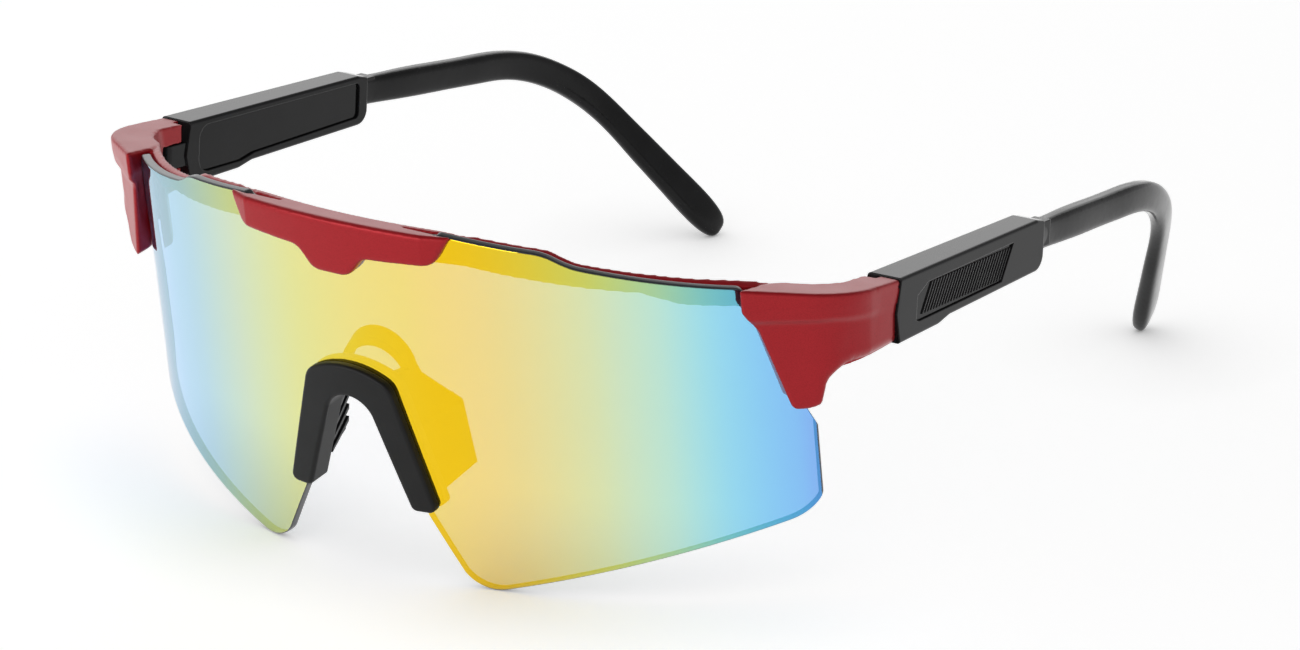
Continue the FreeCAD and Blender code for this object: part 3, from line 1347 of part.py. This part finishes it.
# Right-hand pieces are mirror images
left_pieces = [left_screw, sleeve, cover, inlay, spring, left_arm]
right_pieces = []
for piece in left_pieces:
    other = mirrored(piece.Name.replace("Left", "Right"), piece)
    other.Label = piece.Label.replace("left_", "right_")
    right_pieces.append(other)
doc.recompute()

for item in doc.Objects:
    if "Invalid" in item.State or "Error" in item.State:
        raise RuntimeError("not built: " + item.Name)
os.makedirs("parts", exist_ok=True)
for piece in [front_frame, lens, nose_piece] + left_pieces + right_pieces:
    shape = piece.Shape
    if shape.isNull() or not shape.isValid() or len(shape.Solids) != 1:
        raise RuntimeError("not one sound solid: " + piece.Label)
    shape.exportStep("parts/%s.step" % piece.Label)
    print(piece.Label, round(shape.Volume))
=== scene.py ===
import json
import math

import bmesh
import bpy
import numpy as np
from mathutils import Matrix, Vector


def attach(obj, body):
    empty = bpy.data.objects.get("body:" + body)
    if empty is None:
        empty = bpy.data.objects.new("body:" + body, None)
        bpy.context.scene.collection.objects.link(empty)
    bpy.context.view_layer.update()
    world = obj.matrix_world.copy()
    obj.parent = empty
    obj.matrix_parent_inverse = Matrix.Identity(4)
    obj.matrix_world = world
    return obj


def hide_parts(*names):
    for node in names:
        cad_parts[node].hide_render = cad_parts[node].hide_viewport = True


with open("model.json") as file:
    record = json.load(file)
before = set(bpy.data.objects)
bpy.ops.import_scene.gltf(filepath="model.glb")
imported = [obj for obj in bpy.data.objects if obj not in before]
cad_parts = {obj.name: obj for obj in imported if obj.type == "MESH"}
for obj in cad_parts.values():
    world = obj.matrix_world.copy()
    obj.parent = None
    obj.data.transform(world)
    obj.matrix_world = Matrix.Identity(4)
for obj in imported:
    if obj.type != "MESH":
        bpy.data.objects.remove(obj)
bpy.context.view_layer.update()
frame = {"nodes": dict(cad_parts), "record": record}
scene = bpy.context.scene
MM = 0.001


def colour(code):
    """sRGB hex code to the linear colour that shader sockets take."""
    part = np.array([int(code[i:i + 2], 16) for i in (1, 3, 5)]) / 255
    line = np.where(part <= 0.04045, part / 12.92, ((part + 0.055) / 1.055) ** 2.4)
    return (*line.tolist(), 1.0)


def node(tree, kind, sockets=(), **settings):
    """Adds one shader node; sockets maps an input to a value or to the output that feeds it."""
    made = tree.nodes.new(kind)
    for name, value in settings.items():
        setattr(made, name, value)
    for name, value in dict(sockets).items():
        if isinstance(value, bpy.types.NodeSocket):
            tree.links.new(value, made.inputs[name])
        else:
            made.inputs[name].default_value = value
    return made


def material(name):
    """A new node material; gives the material, its emptied tree and the Object coordinates."""
    made = bpy.data.materials.new(name)
    made.use_nodes = True
    tree = made.node_tree
    tree.nodes.clear()
    place = node(tree, "ShaderNodeTexCoord").outputs["Object"]
    return made, tree, place


def ramp(tree, share, stops, mode="LINEAR"):
    """A colour ramp over the share socket; stops are (position, hex code)."""
    made = node(tree, "ShaderNodeValToRGB", {"Fac": share})
    band = made.color_ramp
    band.interpolation = mode
    while len(band.elements) < len(stops):
        band.elements.new(0.5)
    for element, (position, code) in zip(band.elements, stops):
        element.position = position
        element.color = colour(code)
    return made.outputs["Color"]


def shown(tree, shader):
    """Sends a shader to the material's surface."""
    node(tree, "ShaderNodeOutputMaterial", {"Surface": shader})


# Red metallic lacquer sprayed over moulded frame plastic, satin: a deep red whose flakes tint its own
# reflections, so that only faces seen at a low angle turn pale.
def red_lacquer():
    made, tree, place = material("red_metallic_lacquer_sprayed")
    flakes = node(tree, "ShaderNodeTexVoronoi", {"Vector": place, "Scale": 1 / (0.16 * MM)})
    cloud = node(tree, "ShaderNodeTexNoise", {"Vector": place, "Scale": 1 / (5 * MM), "Detail": 2.0})
    body = ramp(tree, flakes.outputs["Distance"], [(0.0, "#AE2028"), (0.8, "#981920")])
    satin = node(tree, "ShaderNodeMapRange", {"Value": cloud.outputs[0], "To Min": 0.26, "To Max": 0.34})
    grain = node(tree, "ShaderNodeBump", {"Height": flakes.outputs["Distance"], "Strength": 0.08,
                                          "Distance": 0.02 * MM})
    paint = node(tree, "ShaderNodeBsdfPrincipled", {
        "Base Color": body, "Metallic": 0.3, "Roughness": satin.outputs[0], "Normal": grain.outputs[0],
        "Specular IOR Level": 0.22})
    shown(tree, paint.outputs[0])
    return made


def across_lens(tree, place):
    """0 at the wearer's right end of the lens to 1 at the left end."""
    apart = node(tree, "ShaderNodeSeparateXYZ", {"Vector": place})
    across = node(tree, "ShaderNodeMapRange", {
        "Value": apart.outputs["X"], "From Min": -LENS_HALF * MM, "From Max": LENS_HALF * MM})
    return across.outputs[0]


# Interference mirror, vacuum coated on polycarbonate: its colour turns from blue at the sides over green
# to yellow near the middle, and about a quarter of the light passes through it.
def mirror_coat():
    made, tree, place = material("interference_mirror_vacuum_coated")
    tint = ramp(tree, across_lens(tree, place), [
        (0.00, "#6488D8"), (0.07, "#50B0DE"), (0.22, "#9CC6C0"), (0.32, "#C6DA90"), (0.43, "#E8DA45"),
        (0.59, "#FFCE14"), (0.70, "#F4CA1C"), (0.80, "#D2DA58"), (0.87, "#ACDAA8"), (0.92, "#70CCD0"),
        (0.98, "#4CA4E0"), (1.00, "#5890D4")], "B_SPLINE")
    dust = node(tree, "ShaderNodeTexNoise", {"Vector": place, "Scale": 1 / (9 * MM), "Detail": 2.0})
    polish = node(tree, "ShaderNodeMapRange", {"Value": dust.outputs[0], "To Min": 0.02, "To Max": 0.05})
    coat = node(tree, "ShaderNodeBsdfPrincipled", {
        "Base Color": tint, "Metallic": 1.0, "Roughness": polish.outputs[0], "Alpha": 0.72})
    shown(tree, coat.outputs[0])
    return made


# Bare back of the lens, polished smoked polycarbonate: it only tints what is seen through it. The face has
# one tint on each side. Towards the coat it passes the colours that the coat doesn't throw back, and
# towards the wearer it is grey smoke, over which the coat still shows.
def smoked_back():
    made, tree, place = material("smoked_polycarbonate_polished")
    body = ramp(tree, across_lens(tree, place), [
        (0.00, "#8492D0"), (0.14, "#8090D8"), (0.30, "#6670E0"), (0.42, "#2E78B8"), (0.58, "#0C7CA2"),
        (0.70, "#2E78CC"), (0.82, "#6478FF"), (0.94, "#8090DC"), (1.00, "#8890C4")])
    side = node(tree, "ShaderNodeNewGeometry")
    tint = node(tree, "ShaderNodeMix", {0: side.outputs["Backfacing"], 6: colour("#8F939C"), 7: body},
                data_type="RGBA")
    sheet = node(tree, "ShaderNodeBsdfPrincipled", {
        "Base Color": tint.outputs[2], "Roughness": 0.0, "IOR": 1.0, "Transmission Weight": 1.0})
    shown(tree, sheet.outputs[0])
    return made


# Cut edge of the lens: smoked polycarbonate through its whole depth, nearly black, with fine cutter marks.
def smoked_edge():
    made, tree, place = material("smoked_polycarbonate_cut_edge")
    marks = node(tree, "ShaderNodeTexNoise", {"Vector": place, "Scale": 1 / (0.4 * MM), "Detail": 2.0})
    body = ramp(tree, marks.outputs[0], [(0.3, "#24272B"), (0.7, "#2E3136")])
    edge = node(tree, "ShaderNodeBsdfPrincipled", {"Base Color": body, "Roughness": 0.3, "IOR": 1.58})
    shown(tree, edge.outputs[0])
    return made


# Black plastic or rubber, moulded: near black with a faint cloud, and the pores of the tool's surface.
def moulded_black(name, code, gloss, pore, depth, shine):
    made, tree, place = material(name)
    cloud = node(tree, "ShaderNodeTexNoise", {"Vector": place, "Scale": 1 / (6 * MM), "Detail": 3.0})
    fine = node(tree, "ShaderNodeTexNoise", {"Vector": place, "Scale": 1 / (pore * MM), "Detail": 2.0})
    body = ramp(tree, cloud.outputs[0], [(0.3, code), (0.7, "#151516")])
    rough = node(tree, "ShaderNodeMapRange", {
        "Value": cloud.outputs[0], "To Min": gloss - 0.03, "To Max": gloss + 0.03})
    eased_edge = node(tree, "ShaderNodeBevel", {"Radius": 0.3 * MM}, samples=6)
    skin = node(tree, "ShaderNodeBump", {"Height": fine.outputs[0], "Strength": 0.3, "Distance": depth * MM,
                                         "Normal": eased_edge.outputs[0]})
    black = node(tree, "ShaderNodeBsdfPrincipled", {
        "Base Color": body, "Roughness": rough.outputs[0], "Normal": skin.outputs[0],
        "Specular IOR Level": shine})
    shown(tree, black.outputs[0])
    return made


# Turned stainless steel: light grey with a fine uneven grain, and soft bright reflections.
def turned_steel():
    made, tree, place = material("turned_stainless_steel")
    line = node(tree, "ShaderNodeTexNoise", {"Vector": place, "Scale": 1 / (0.15 * MM), "Detail": 2.0})
    tone = ramp(tree, line.outputs[0], [(0.3, "#B8B8BA"), (0.7, "#D0D0D0")])
    steel = node(tree, "ShaderNodeBsdfPrincipled", {"Base Color": tone, "Metallic": 1.0, "Roughness": 0.28})
    shown(tree, steel.outputs[0])
    return made


def surface(name, points, bands, paints):
    """A mesh from a grid of points (columns, rows, xyz): each face joins two neighbouring columns and
    two neighbouring rows, the last row joins the first, and bands gives the paint of each face. Points that
    meet are merged."""
    columns, rows = points.shape[:2]
    at = np.arange(columns * rows).reshape(columns, rows)
    step = np.roll(at, -1, axis=1)
    quads = np.stack([at[:-1], at[1:], step[1:], step[:-1]], axis=-1).reshape(-1, 4)
    corners = points.reshape(-1, 3)[quads]
    spread = np.cross(corners[:, 2] - corners[:, 0], corners[:, 3] - corners[:, 1])
    if (spread * corners.mean(axis=1)).sum() < 0:
        quads = quads[:, ::-1]
    mesh = bpy.data.meshes.new(name)
    mesh.from_pydata(points.reshape(-1, 3), [], quads.tolist())
    mesh.polygons.foreach_set("material_index", bands.reshape(-1).astype(np.int32))
    mesh.polygons.foreach_set("use_smooth", np.ones(len(quads), bool))
    for entry in paints:
        mesh.materials.append(entry)
    whole = bmesh.new()
    whole.from_mesh(mesh)
    bmesh.ops.remove_doubles(whole, verts=whole.verts, dist=SHEET_MERGE * MM)
    bmesh.ops.recalc_face_normals(whole, faces=whole.faces)
    whole.to_mesh(mesh)
    whole.free()
    mesh.update()
    made = bpy.data.objects.new(name, mesh)
    scene.collection.objects.link(made)
    return made


def eased(corners, rounds):
    """A polyline whose inner corners are eased by a parabola that starts and ends one round away, or just
    short of half way to the next corner."""
    corners = np.array(corners, float)
    share = np.linspace(0, 1, EASE_STEPS)[:, None]
    run = [corners[:1]]
    for before, corner, after, reach in zip(corners, corners[1:], corners[2:], rounds):
        start = corner + (before - corner) * min(EASE_LIMIT, reach / np.linalg.norm(before - corner))
        end = corner + (after - corner) * min(EASE_LIMIT, reach / np.linalg.norm(after - corner))
        run.append((1 - share) ** 2 * start + 2 * share * (1 - share) * corner + share ** 2 * end)
    run.append(corners[-1:])
    return np.concatenate(run)


# The lens in its own frame, in millimetres: x to the side, v up the sheet.
RADIUS = 81.2
THICK = 1.5
TILT = math.radians(8.4)
REACH = 78.2
LENS_HALF = 66.0
LENS_END = 65.48
EDGE_EASE = 0.2
SHEET_MERGE = 0.002
COLUMN_STEP = 0.35
LEAST_COLUMN = 0.01
EASE_STEPS, EASE_LIMIT = 9, 0.49
ARCH_HALF, ARCH_CENTRE, ARCH_RADIUS = 6.2, 28.44, 6.957
FLANK_FOOT = (12.1, 12.0)
LOBE_HALF, LOBE_RADIUS, LOBE_FROM, LOBE_TO = 22.5, 6.5, 17.3, 24.1
TURN_CENTRE, TURN_RADIUS, TURN_FROM = (60.7, 13.95), 4.9, math.radians(-75.9)
EAR = (65.7, 24.1)
TOP_CORNERS = ((0, 61.7), (18.1, 61.7), (18.6, 62.3), (34.2, 59.6), (38.0, 57.2), (58.6, 50.9),
               (59.4, 49.2), (62.2, 48.7), (62.202, 36.4), EAR)
TOP_ROUNDS = (0.4, 0.5, 1.5, 1.5, 0.5, 0.5, 0.001, 0.001)
LIFT = -(RADIUS - math.sqrt(RADIUS ** 2 - LOBE_HALF ** 2)) * math.sin(TILT)


def lens_edges():
    """Lower and upper edge of the half sheet: nose arch, flank, lobe, sole, corner and side below;
    middle, crown, steps, brow, notch, end and ear above."""
    arch_x = np.linspace(0, ARCH_HALF, 20)
    arch = np.stack([arch_x, ARCH_CENTRE + np.sqrt(ARCH_RADIUS ** 2 - arch_x ** 2)], axis=1)
    lobe_x = np.linspace(LOBE_FROM, LOBE_TO, 30)
    lobe_v = LOBE_RADIUS - np.sqrt(LOBE_RADIUS ** 2 - (lobe_x - LOBE_HALF) ** 2)
    turn = np.linspace(TURN_FROM, 0, 24)
    corner = TURN_CENTRE + TURN_RADIUS * np.stack([np.cos(turn), np.sin(turn)], axis=1)
    low = np.concatenate([arch, [FLANK_FOOT], np.stack([lobe_x, lobe_v], axis=1), corner, [EAR]])
    return low, eased(TOP_CORNERS, TOP_ROUNDS)


def lens_sheet(paints):
    """A cylinder sheet of one radius, leaned forwards by the tilt. At each column, at width x on the front,
    the front runs from the lower to the upper edge, folds over an eased edge and comes back along the rear,
    which lies nearer to the axis by the thickness. Thin rows beside both edges keep the face's shading flat
    there. Both ends are cut towards the axis and closed."""
    low, high = lens_edges()
    half = np.unique(np.concatenate([low[:, 0], high[:, 0], np.arange(0, LENS_END, COLUMN_STEP)]).round(4))
    half = np.concatenate([half[half < LENS_END - EDGE_EASE - LEAST_COLUMN],
                           [LENS_END - EDGE_EASE, LENS_END, LENS_END]])
    x = np.concatenate([-half[:0:-1], half])
    bottom = np.interp(np.abs(x), low[:, 0], low[:, 1])
    top = np.maximum(np.interp(np.abs(x), high[:, 0], high[:, 1]), bottom)
    ease = np.minimum(EDGE_EASE, (top - bottom) / 3)
    rise = np.concatenate([[0, 0.006], np.linspace(0.04, 0.96, 23), [0.994, 1]])
    fold = np.linspace(0, 1, 9)[1:-1]
    bulge = np.sqrt(1 - (2 * fold - 1) ** 4)
    face = (bottom + ease)[:, None] + rise * (top - bottom - 2 * ease)[:, None]
    over = (top - ease)[:, None] + bulge * ease[:, None]
    under = (bottom + ease)[:, None] - bulge * ease[:, None]
    v = np.concatenate([face, over, face[:, ::-1], under], axis=1)
    depth = np.concatenate([np.zeros_like(rise), fold, np.ones_like(rise), fold[::-1]])
    pinch = np.ones(len(x))
    pinch[[0, -1]] = 0
    pinch[[1, -2]] = 1 - 2 * EDGE_EASE / THICK
    radius = RADIUS - THICK * (0.5 + (depth - 0.5) * pinch[:, None])
    side = np.arcsin(x / RADIUS)[:, None]
    y = RADIUS - radius * np.cos(side)
    points = np.stack([radius * np.sin(side), -REACH + y * math.cos(TILT) - v * math.sin(TILT),
                       LIFT + y * math.sin(TILT) + v * math.cos(TILT)], axis=-1) * MM
    edge = len(fold) + 1
    bands = np.tile(np.repeat([0, 1, 2, 1], [len(rise) - 1, edge, len(rise) - 1, edge]), (len(x) - 1, 1))
    bands[[0, 1, -2, -1]] = 1
    return surface("lens_shield", points, bands, paints)


# The red moulding, in millimetres: the plane of a claw's outer face, the flat side by the hinge, and the
# places and sizes of what is moved. A pair is where a soft climb starts and ends.
GRID = 0.26
FRAME_MERGE = 0.001
HINGE_FRONT = 44.0
BAR_FROM, BAR_TO = 21.0, 57.0
CLAW_FACING = np.array([0.612, -0.762, -0.211])
CLAW_OFF = 73.8
SIDE_HALF = 72.75
CORNER = 0.8
FACE_TURN = (-1.5, 1.5)
WALL_FADE = (0.3, 1.9)
END_PIECE = 57.0
BROW_LINE, BROW_FALL, BROW_BEND = 48.7, 0.108, -53.0
SET_BACK, STEP_ABOVE, STEP_BELOW, STEP_END = 0.6, 0.4, 1.2, (-52, -40)
HEEL_TURN, HEEL_ROUND, HEEL_DEPTH, HEEL_LEAST, HEEL_HEIGHT = 50.2, 2.0, 0.9, 0.3, (36, 40)
EDGE_SKIN, EDGE_NEAR = 0.8, 3
EDGE_FROM, EDGE_STEP, EDGE_COUNT, EDGE_RUN = 42, 0.25, 100, 0.03
CLAW_FLARE, FLARE_BELOW, FLARE_LENGTH, FLARE_END = 1.4, 2, 14, (-49, -52)
HEEL_WAY = np.array([0.78, 0.62, 0.0])
HEEL_REACH, LONG_TURN, LONG_HEIGHT = 1.2, (48.5, 50.5), (43, 39)
LONG_END, LONG_FADE = (-47, -50), (1.6, 2.6)
LIP_REACH, LIP_END, LIP_FADE, LIP_HEIGHT = 1.0, (-43, -39.2), (0.8, 1.6), (50, 48.8)
PLATE_RADIUS, PLATE_HALF, PLATE_FOOT = 83.35, 22, 53
FACET_HALF, FACET_SLOPE, FACET_SOFT = 16.9, 0.25, 0.4
BAR_RISE, CREST_DEEP, CREST_TOP, BAR_INNER, BAR_OUTER = 0.4, 3, 0.5, (20, 23), (60, 56)
CREST_COUNT = 80


def climb(value, start, end):
    """0 before start to 1 after end, with a soft beginning and end."""
    share = np.clip((value - start) / (end - start), 0, 1)
    return share * share * (3 - 2 * share)


def lower_edge(turn, z, outer):
    """The lowest outer point at each quarter degree round the lens axis, as a run of close points."""
    slot = np.clip(((turn - EDGE_FROM) / EDGE_STEP).astype(int), 0, EDGE_COUNT - 1)
    lowest = np.full(EDGE_COUNT, np.inf)
    np.minimum.at(lowest, slot[outer], z[outer])
    known = np.isfinite(lowest)
    middle = EDGE_FROM + EDGE_STEP * (np.arange(EDGE_COUNT) + 0.5)
    run = np.arange(HEEL_TURN, middle[known].max(), EDGE_RUN)
    return run, np.interp(run, middle[known], lowest[known])


def end_piece_shift(half):
    """How far the points of an end piece move. Depth is measured from the claw's face and the flat side,
    rounded where they meet, and what is pushed fades out within the wall: inwards by a soft step below the
    brow line and by a round towards the lower edge behind the claw, outwards by a flare to the claw's foot.
    The heel of the claw and the lip beside the sleeve are drawn longer."""
    x, y, z = half.T
    end = x > END_PIECE
    to_claw = CLAW_OFF - half @ CLAW_FACING
    to_side = SIDE_HALF - x
    inside = -np.log(np.exp(-CORNER * to_claw) + np.exp(-CORNER * to_side)) / CORNER
    turn = np.degrees(np.arctan2(x, RADIUS - REACH - y))
    line = BROW_LINE - BROW_FALL * np.maximum(0, y - BROW_BEND)
    step = SET_BACK * climb(z, line + STEP_ABOVE, line - STEP_BELOW) * (1 - climb(y, *STEP_END))
    run, height = lower_edge(turn, z, end & (inside < EDGE_SKIN))
    near = end & (z < line) & (inside < EDGE_NEAR)
    away = np.full(len(x), np.inf)
    away[near] = np.hypot(np.radians(turn[near, None] - run) * RADIUS, z[near, None] - height).min(axis=1)
    strength = HEEL_LEAST + (1 - HEEL_LEAST) * climb(z, *HEEL_HEIGHT)
    heel = HEEL_DEPTH * np.clip(1 - away / HEEL_ROUND, 0, 1) ** 2 * strength
    flare = CLAW_FLARE * np.clip((line - FLARE_BELOW - z) / FLARE_LENGTH, 0, 1) * climb(y, *FLARE_END)
    blend = climb(to_claw - to_side, *FACE_TURN)[:, None]
    inward = -(1 - blend) * CLAW_FACING - blend * [1, 0, 0]
    pushed = (step + heel - flare) * (1 - climb(inside, *WALL_FADE)) * end
    longer = HEEL_REACH * climb(turn, *LONG_TURN) * climb(z, *LONG_HEIGHT) * climb(y, *LONG_END)
    longer = longer * (1 - climb(inside, *LONG_FADE)) * end
    lip = LIP_REACH * climb(y, *LIP_END) * (1 - climb(to_side, *LIP_FADE)) * climb(z, *LIP_HEIGHT) * end
    return inward * pushed[:, None] + HEEL_WAY * longer[:, None] + lip[:, None] * [0, 1, 0]


def plate_shift(half):
    """How far back the front of the middle plate moves: a slope that grows past the facet line."""
    x, y, z = half.T
    lean = (y + REACH) * math.cos(TILT) + (z - LIFT) * math.sin(TILT)
    depth = PLATE_RADIUS - np.hypot(x, lean - RADIUS)
    slope = FACET_SLOPE * climb(x, FACET_HALF - FACET_SOFT, FACET_HALF + FACET_SOFT)
    facet = slope * np.maximum(0, x - FACET_HALF) * (1 - climb(depth, *WALL_FADE))
    return (facet * (x < PLATE_HALF) * (z > PLATE_FOOT))[:, None] * [0, 1, 0]


def bar_shift(half):
    """How far the crest of the bar is raised between the plate and the end piece."""
    x, _, z = half.T
    highest = np.zeros(CREST_COUNT)
    np.maximum.at(highest, np.clip(x.astype(int), 0, CREST_COUNT - 1), z)
    crest = np.interp(x, np.arange(CREST_COUNT) + 0.5, highest)
    rise = BAR_RISE * climb(z, crest - CREST_DEEP, crest - CREST_TOP)
    return (rise * climb(x, *BAR_INNER) * climb(x, *BAR_OUTER))[:, None] * [0, 0, 1]


def settled(made):
    """Works out an object's modifiers into its mesh."""
    bpy.context.view_layer.update()
    mesh = bpy.data.meshes.new_from_object(made.evaluated_get(bpy.context.evaluated_depsgraph_get()))
    made.modifiers.clear()
    made.data = mesh


def places(made):
    """The vertices of an object's mesh in millimetres."""
    flat = np.empty(3 * len(made.data.vertices))
    made.data.vertices.foreach_get("co", flat)
    return flat.reshape(-1, 3) / MM


def even_frame():
    """A merged copy of the frame's solid on an even grid, with its edges eased by rounds of smoothing: few
    all over, more ahead of the hinge and most on the bar."""
    mesh = frame["nodes"]["front_frame"].data.copy()
    whole = bmesh.new()
    whole.from_mesh(mesh)
    bmesh.ops.remove_doubles(whole, verts=whole.verts, dist=FRAME_MERGE * MM)
    whole.to_mesh(mesh)
    whole.free()
    made = bpy.data.objects.new("front_moulding", mesh)
    scene.collection.objects.link(made)
    even = made.modifiers.new("even_grid", "REMESH")
    even.mode = "VOXEL"
    even.voxel_size = GRID * MM
    settled(made)
    across, ahead, _ = np.abs(places(made)).T
    for name, chosen, rounds in (("whole", ahead > 0, 2), ("ahead_of_hinge", ahead > HINGE_FRONT, 7),
                                 ("bar", (across > BAR_FROM) & (across < BAR_TO), 16)):
        group = made.vertex_groups.new(name=name)
        group.add(np.flatnonzero(chosen).tolist(), 1.0, "REPLACE")
        ease = made.modifiers.new(name, "SMOOTH")
        ease.vertex_group = name
        ease.factor = 0.5
        ease.iterations = rounds
    settled(made)
    made.vertex_groups.clear()
    return made


def front_moulding(paint):
    """The frame's solid on an even grid with eased edges. Each point of it, taken to the left half, then
    moves by the sum of what the end piece, the middle plate and the bar ask for there."""
    made = even_frame()
    points = places(made)
    side = np.sign(points[:, :1]) * [1, 0, 0] + [0, 1, 1]
    half = points * side
    half = half + end_piece_shift(half) + plate_shift(half) + bar_shift(half)
    mesh = made.data
    mesh.vertices.foreach_set("co", (half * side * MM).ravel())
    mesh.polygons.foreach_set("use_smooth", np.ones(len(mesh.polygons), bool))
    mesh.materials.clear()
    mesh.materials.append(paint)
    mesh.update()
    return made


red = red_lacquer()
mirror = mirror_coat()
smoke = smoked_back()
rim = smoked_edge()
gloss = moulded_black("black_nylon_polished_mould", "#0A0A0B", 0.14, 0.5, 0.001, 0.15)
deep = moulded_black("black_inlay_gloss_mould", "#050506", 0.20, 0.4, 0.0015, 0.15)
rubber = moulded_black("black_rubber_satin_mould", "#0C0C0D", 0.45, 0.25, 0.008, 0.2)
steel = turned_steel()

PAINTS = {"red_paint": red, "black_plastic": gloss, "inlay_black": deep, "black_rubber": rubber,
          "steel": steel}
for entry in frame["record"]["subparts"]:
    if entry["material_slot"] in PAINTS:
        skin = frame["nodes"][entry["node"]].data
        skin.materials.clear()
        skin.materials.append(PAINTS[entry["material_slot"]])

front = front_moulding(red)
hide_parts("front_frame")
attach(front, "front")
lens = lens_sheet([mirror, rim, smoke])
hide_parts("lens")
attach(lens, "front")


# The stage. A lift is what the ground adds to its own light where it is seen, by the camera or in a mirror.
WHITE = (1.0, 1.0, 1.0, 1.0)
GROUND_TONE = (0.9, 0.9, 0.9, 1.0)
GROUND_REACH = 4.0
GROUND_DROP = 0.02 * MM
# Within this reach of the glasses the ground's lift fades by their ambient occlusion: painted shade round
# their feet.
PAINTED_SHADE_REACH = 28 * MM
FLOOR_LIFT = 0.54
MIRRORED_LIFT = 0.78
LAMP_AIM = (0, 0, 0.03)


def either(tree, first, second):
    """1 where one of two sockets is 1."""
    return node(tree, "ShaderNodeMath", {0: first, 1: second}, operation="MAXIMUM").outputs[0]


def product(tree, first, second):
    """Two sockets multiplied."""
    return node(tree, "ShaderNodeMath", {0: first, 1: second}, operation="MULTIPLY").outputs[0]


def floor():
    """The white ground that the glasses stand on. It takes their shadow, and is lifted towards white where
    it is seen straight, mirrored or through the lens. Close to the glasses the lift fades with their
    ambient occlusion, a painted shade round their feet that the lens also mirrors."""
    mesh = bpy.data.meshes.new("ground")
    reach = GROUND_REACH
    mesh.from_pydata([(-reach, -reach, 0), (reach, -reach, 0), (reach, reach, 0), (-reach, reach, 0)], [],
                     [(0, 1, 2, 3)])
    made = bpy.data.objects.new("ground", mesh)
    made.location.z = -GROUND_DROP
    scene.collection.objects.link(made)
    white, tree, _ = material("white_ground")
    base = node(tree, "ShaderNodeBsdfDiffuse", {"Color": GROUND_TONE})
    path = node(tree, "ShaderNodeLightPath").outputs
    straight = path["Is Camera Ray"]
    seen = either(tree, straight, either(tree, path["Is Glossy Ray"], path["Is Transmission Ray"]))
    level = node(tree, "ShaderNodeMapRange", {
        "Value": straight, "To Min": MIRRORED_LIFT, "To Max": FLOOR_LIFT})
    # Ambient occlusion of the glasses dims the lift near them: painted shade on the ground, also seen
    # mirrored in the lens.
    painted_contact_shade = node(tree, "ShaderNodeAmbientOcclusion", {"Distance": PAINTED_SHADE_REACH}, samples=12)
    soft = product(tree, product(tree, seen, level.outputs[0]), painted_contact_shade.outputs["AO"])
    lift = node(tree, "ShaderNodeEmission", {"Color": WHITE, "Strength": soft})
    both = node(tree, "ShaderNodeAddShader", {0: base.outputs[0], 1: lift.outputs[0]})
    shown(tree, both.outputs[0])
    mesh.materials.append(white)
    return made


def looking(away):
    """Rotation that turns a lamp or camera, which looks along its -Z, to look along away."""
    return Vector(away).to_track_quat("-Z", "Y").to_euler()


def lamp(name, place, wide, tall, power):
    """A flat softbox at place, turned to the glasses."""
    data = bpy.data.lights.new(name, "AREA")
    data.shape = "RECTANGLE"
    data.size = wide
    data.size_y = tall
    data.energy = power
    made = bpy.data.objects.new(name, data)
    made.location = place
    made.rotation_euler = looking(np.array(LAMP_AIM) - np.array(place))
    scene.collection.objects.link(made)
    return made


def sky():
    """Surround that is white at the horizon and grey overhead, also in reflections; the camera sees plain
    white, straight or through the lens."""
    world = bpy.data.worlds.new("white_surround")
    world.use_nodes = True
    tree = world.node_tree
    tree.nodes.clear()
    place = node(tree, "ShaderNodeTexCoord").outputs["Generated"]
    apart = node(tree, "ShaderNodeSeparateXYZ", {"Vector": place})
    tone = ramp(tree, apart.outputs["Z"], [(0.0, "#FFFFFF"), (0.25, "#D0D0D0"), (1.0, "#686868")])
    light = node(tree, "ShaderNodeBackground", {"Color": tone, "Strength": 1.0})
    plain = node(tree, "ShaderNodeBackground", {"Color": WHITE, "Strength": 1.0})
    path = node(tree, "ShaderNodeLightPath").outputs
    straight = either(tree, path["Is Camera Ray"], path["Is Transmission Ray"])
    both = node(tree, "ShaderNodeMixShader", {0: straight, 1: light.outputs[0], 2: plain.outputs[0]})
    node(tree, "ShaderNodeOutputWorld", {"Surface": both.outputs[0]})
    scene.world = world


ground = floor()
sky()
key = lamp("softbox_front", (-0.35, -1.3, 0.42), 1.6, 0.7, 10.0)
key.data.use_shadow = False
rear = lamp("softbox_behind", (-0.75, 1.1, 0.45), 1.6, 0.6, 2.6)

AZIMUTH, ELEVATION = math.radians(34.204), math.radians(19.798)
TARGET = np.array([0.0, 0.554, 17.48]) * MM
DISTANCE = 1126.08 * MM
FOCAL_MM, SENSOR_MM = 186.19, 36
eye = bpy.data.cameras.new("photo_camera")
eye.lens = FOCAL_MM
eye.sensor_width = SENSOR_MM
camera = bpy.data.objects.new("photo_camera", eye)
back = np.array([math.sin(AZIMUTH) * math.cos(ELEVATION), -math.cos(AZIMUTH) * math.cos(ELEVATION),
                 math.sin(ELEVATION)])
camera.location = TARGET + DISTANCE * back
camera.rotation_euler = looking(-back)
scene.collection.objects.link(camera)
scene.camera = camera
scene.view_settings.view_transform = "Standard"
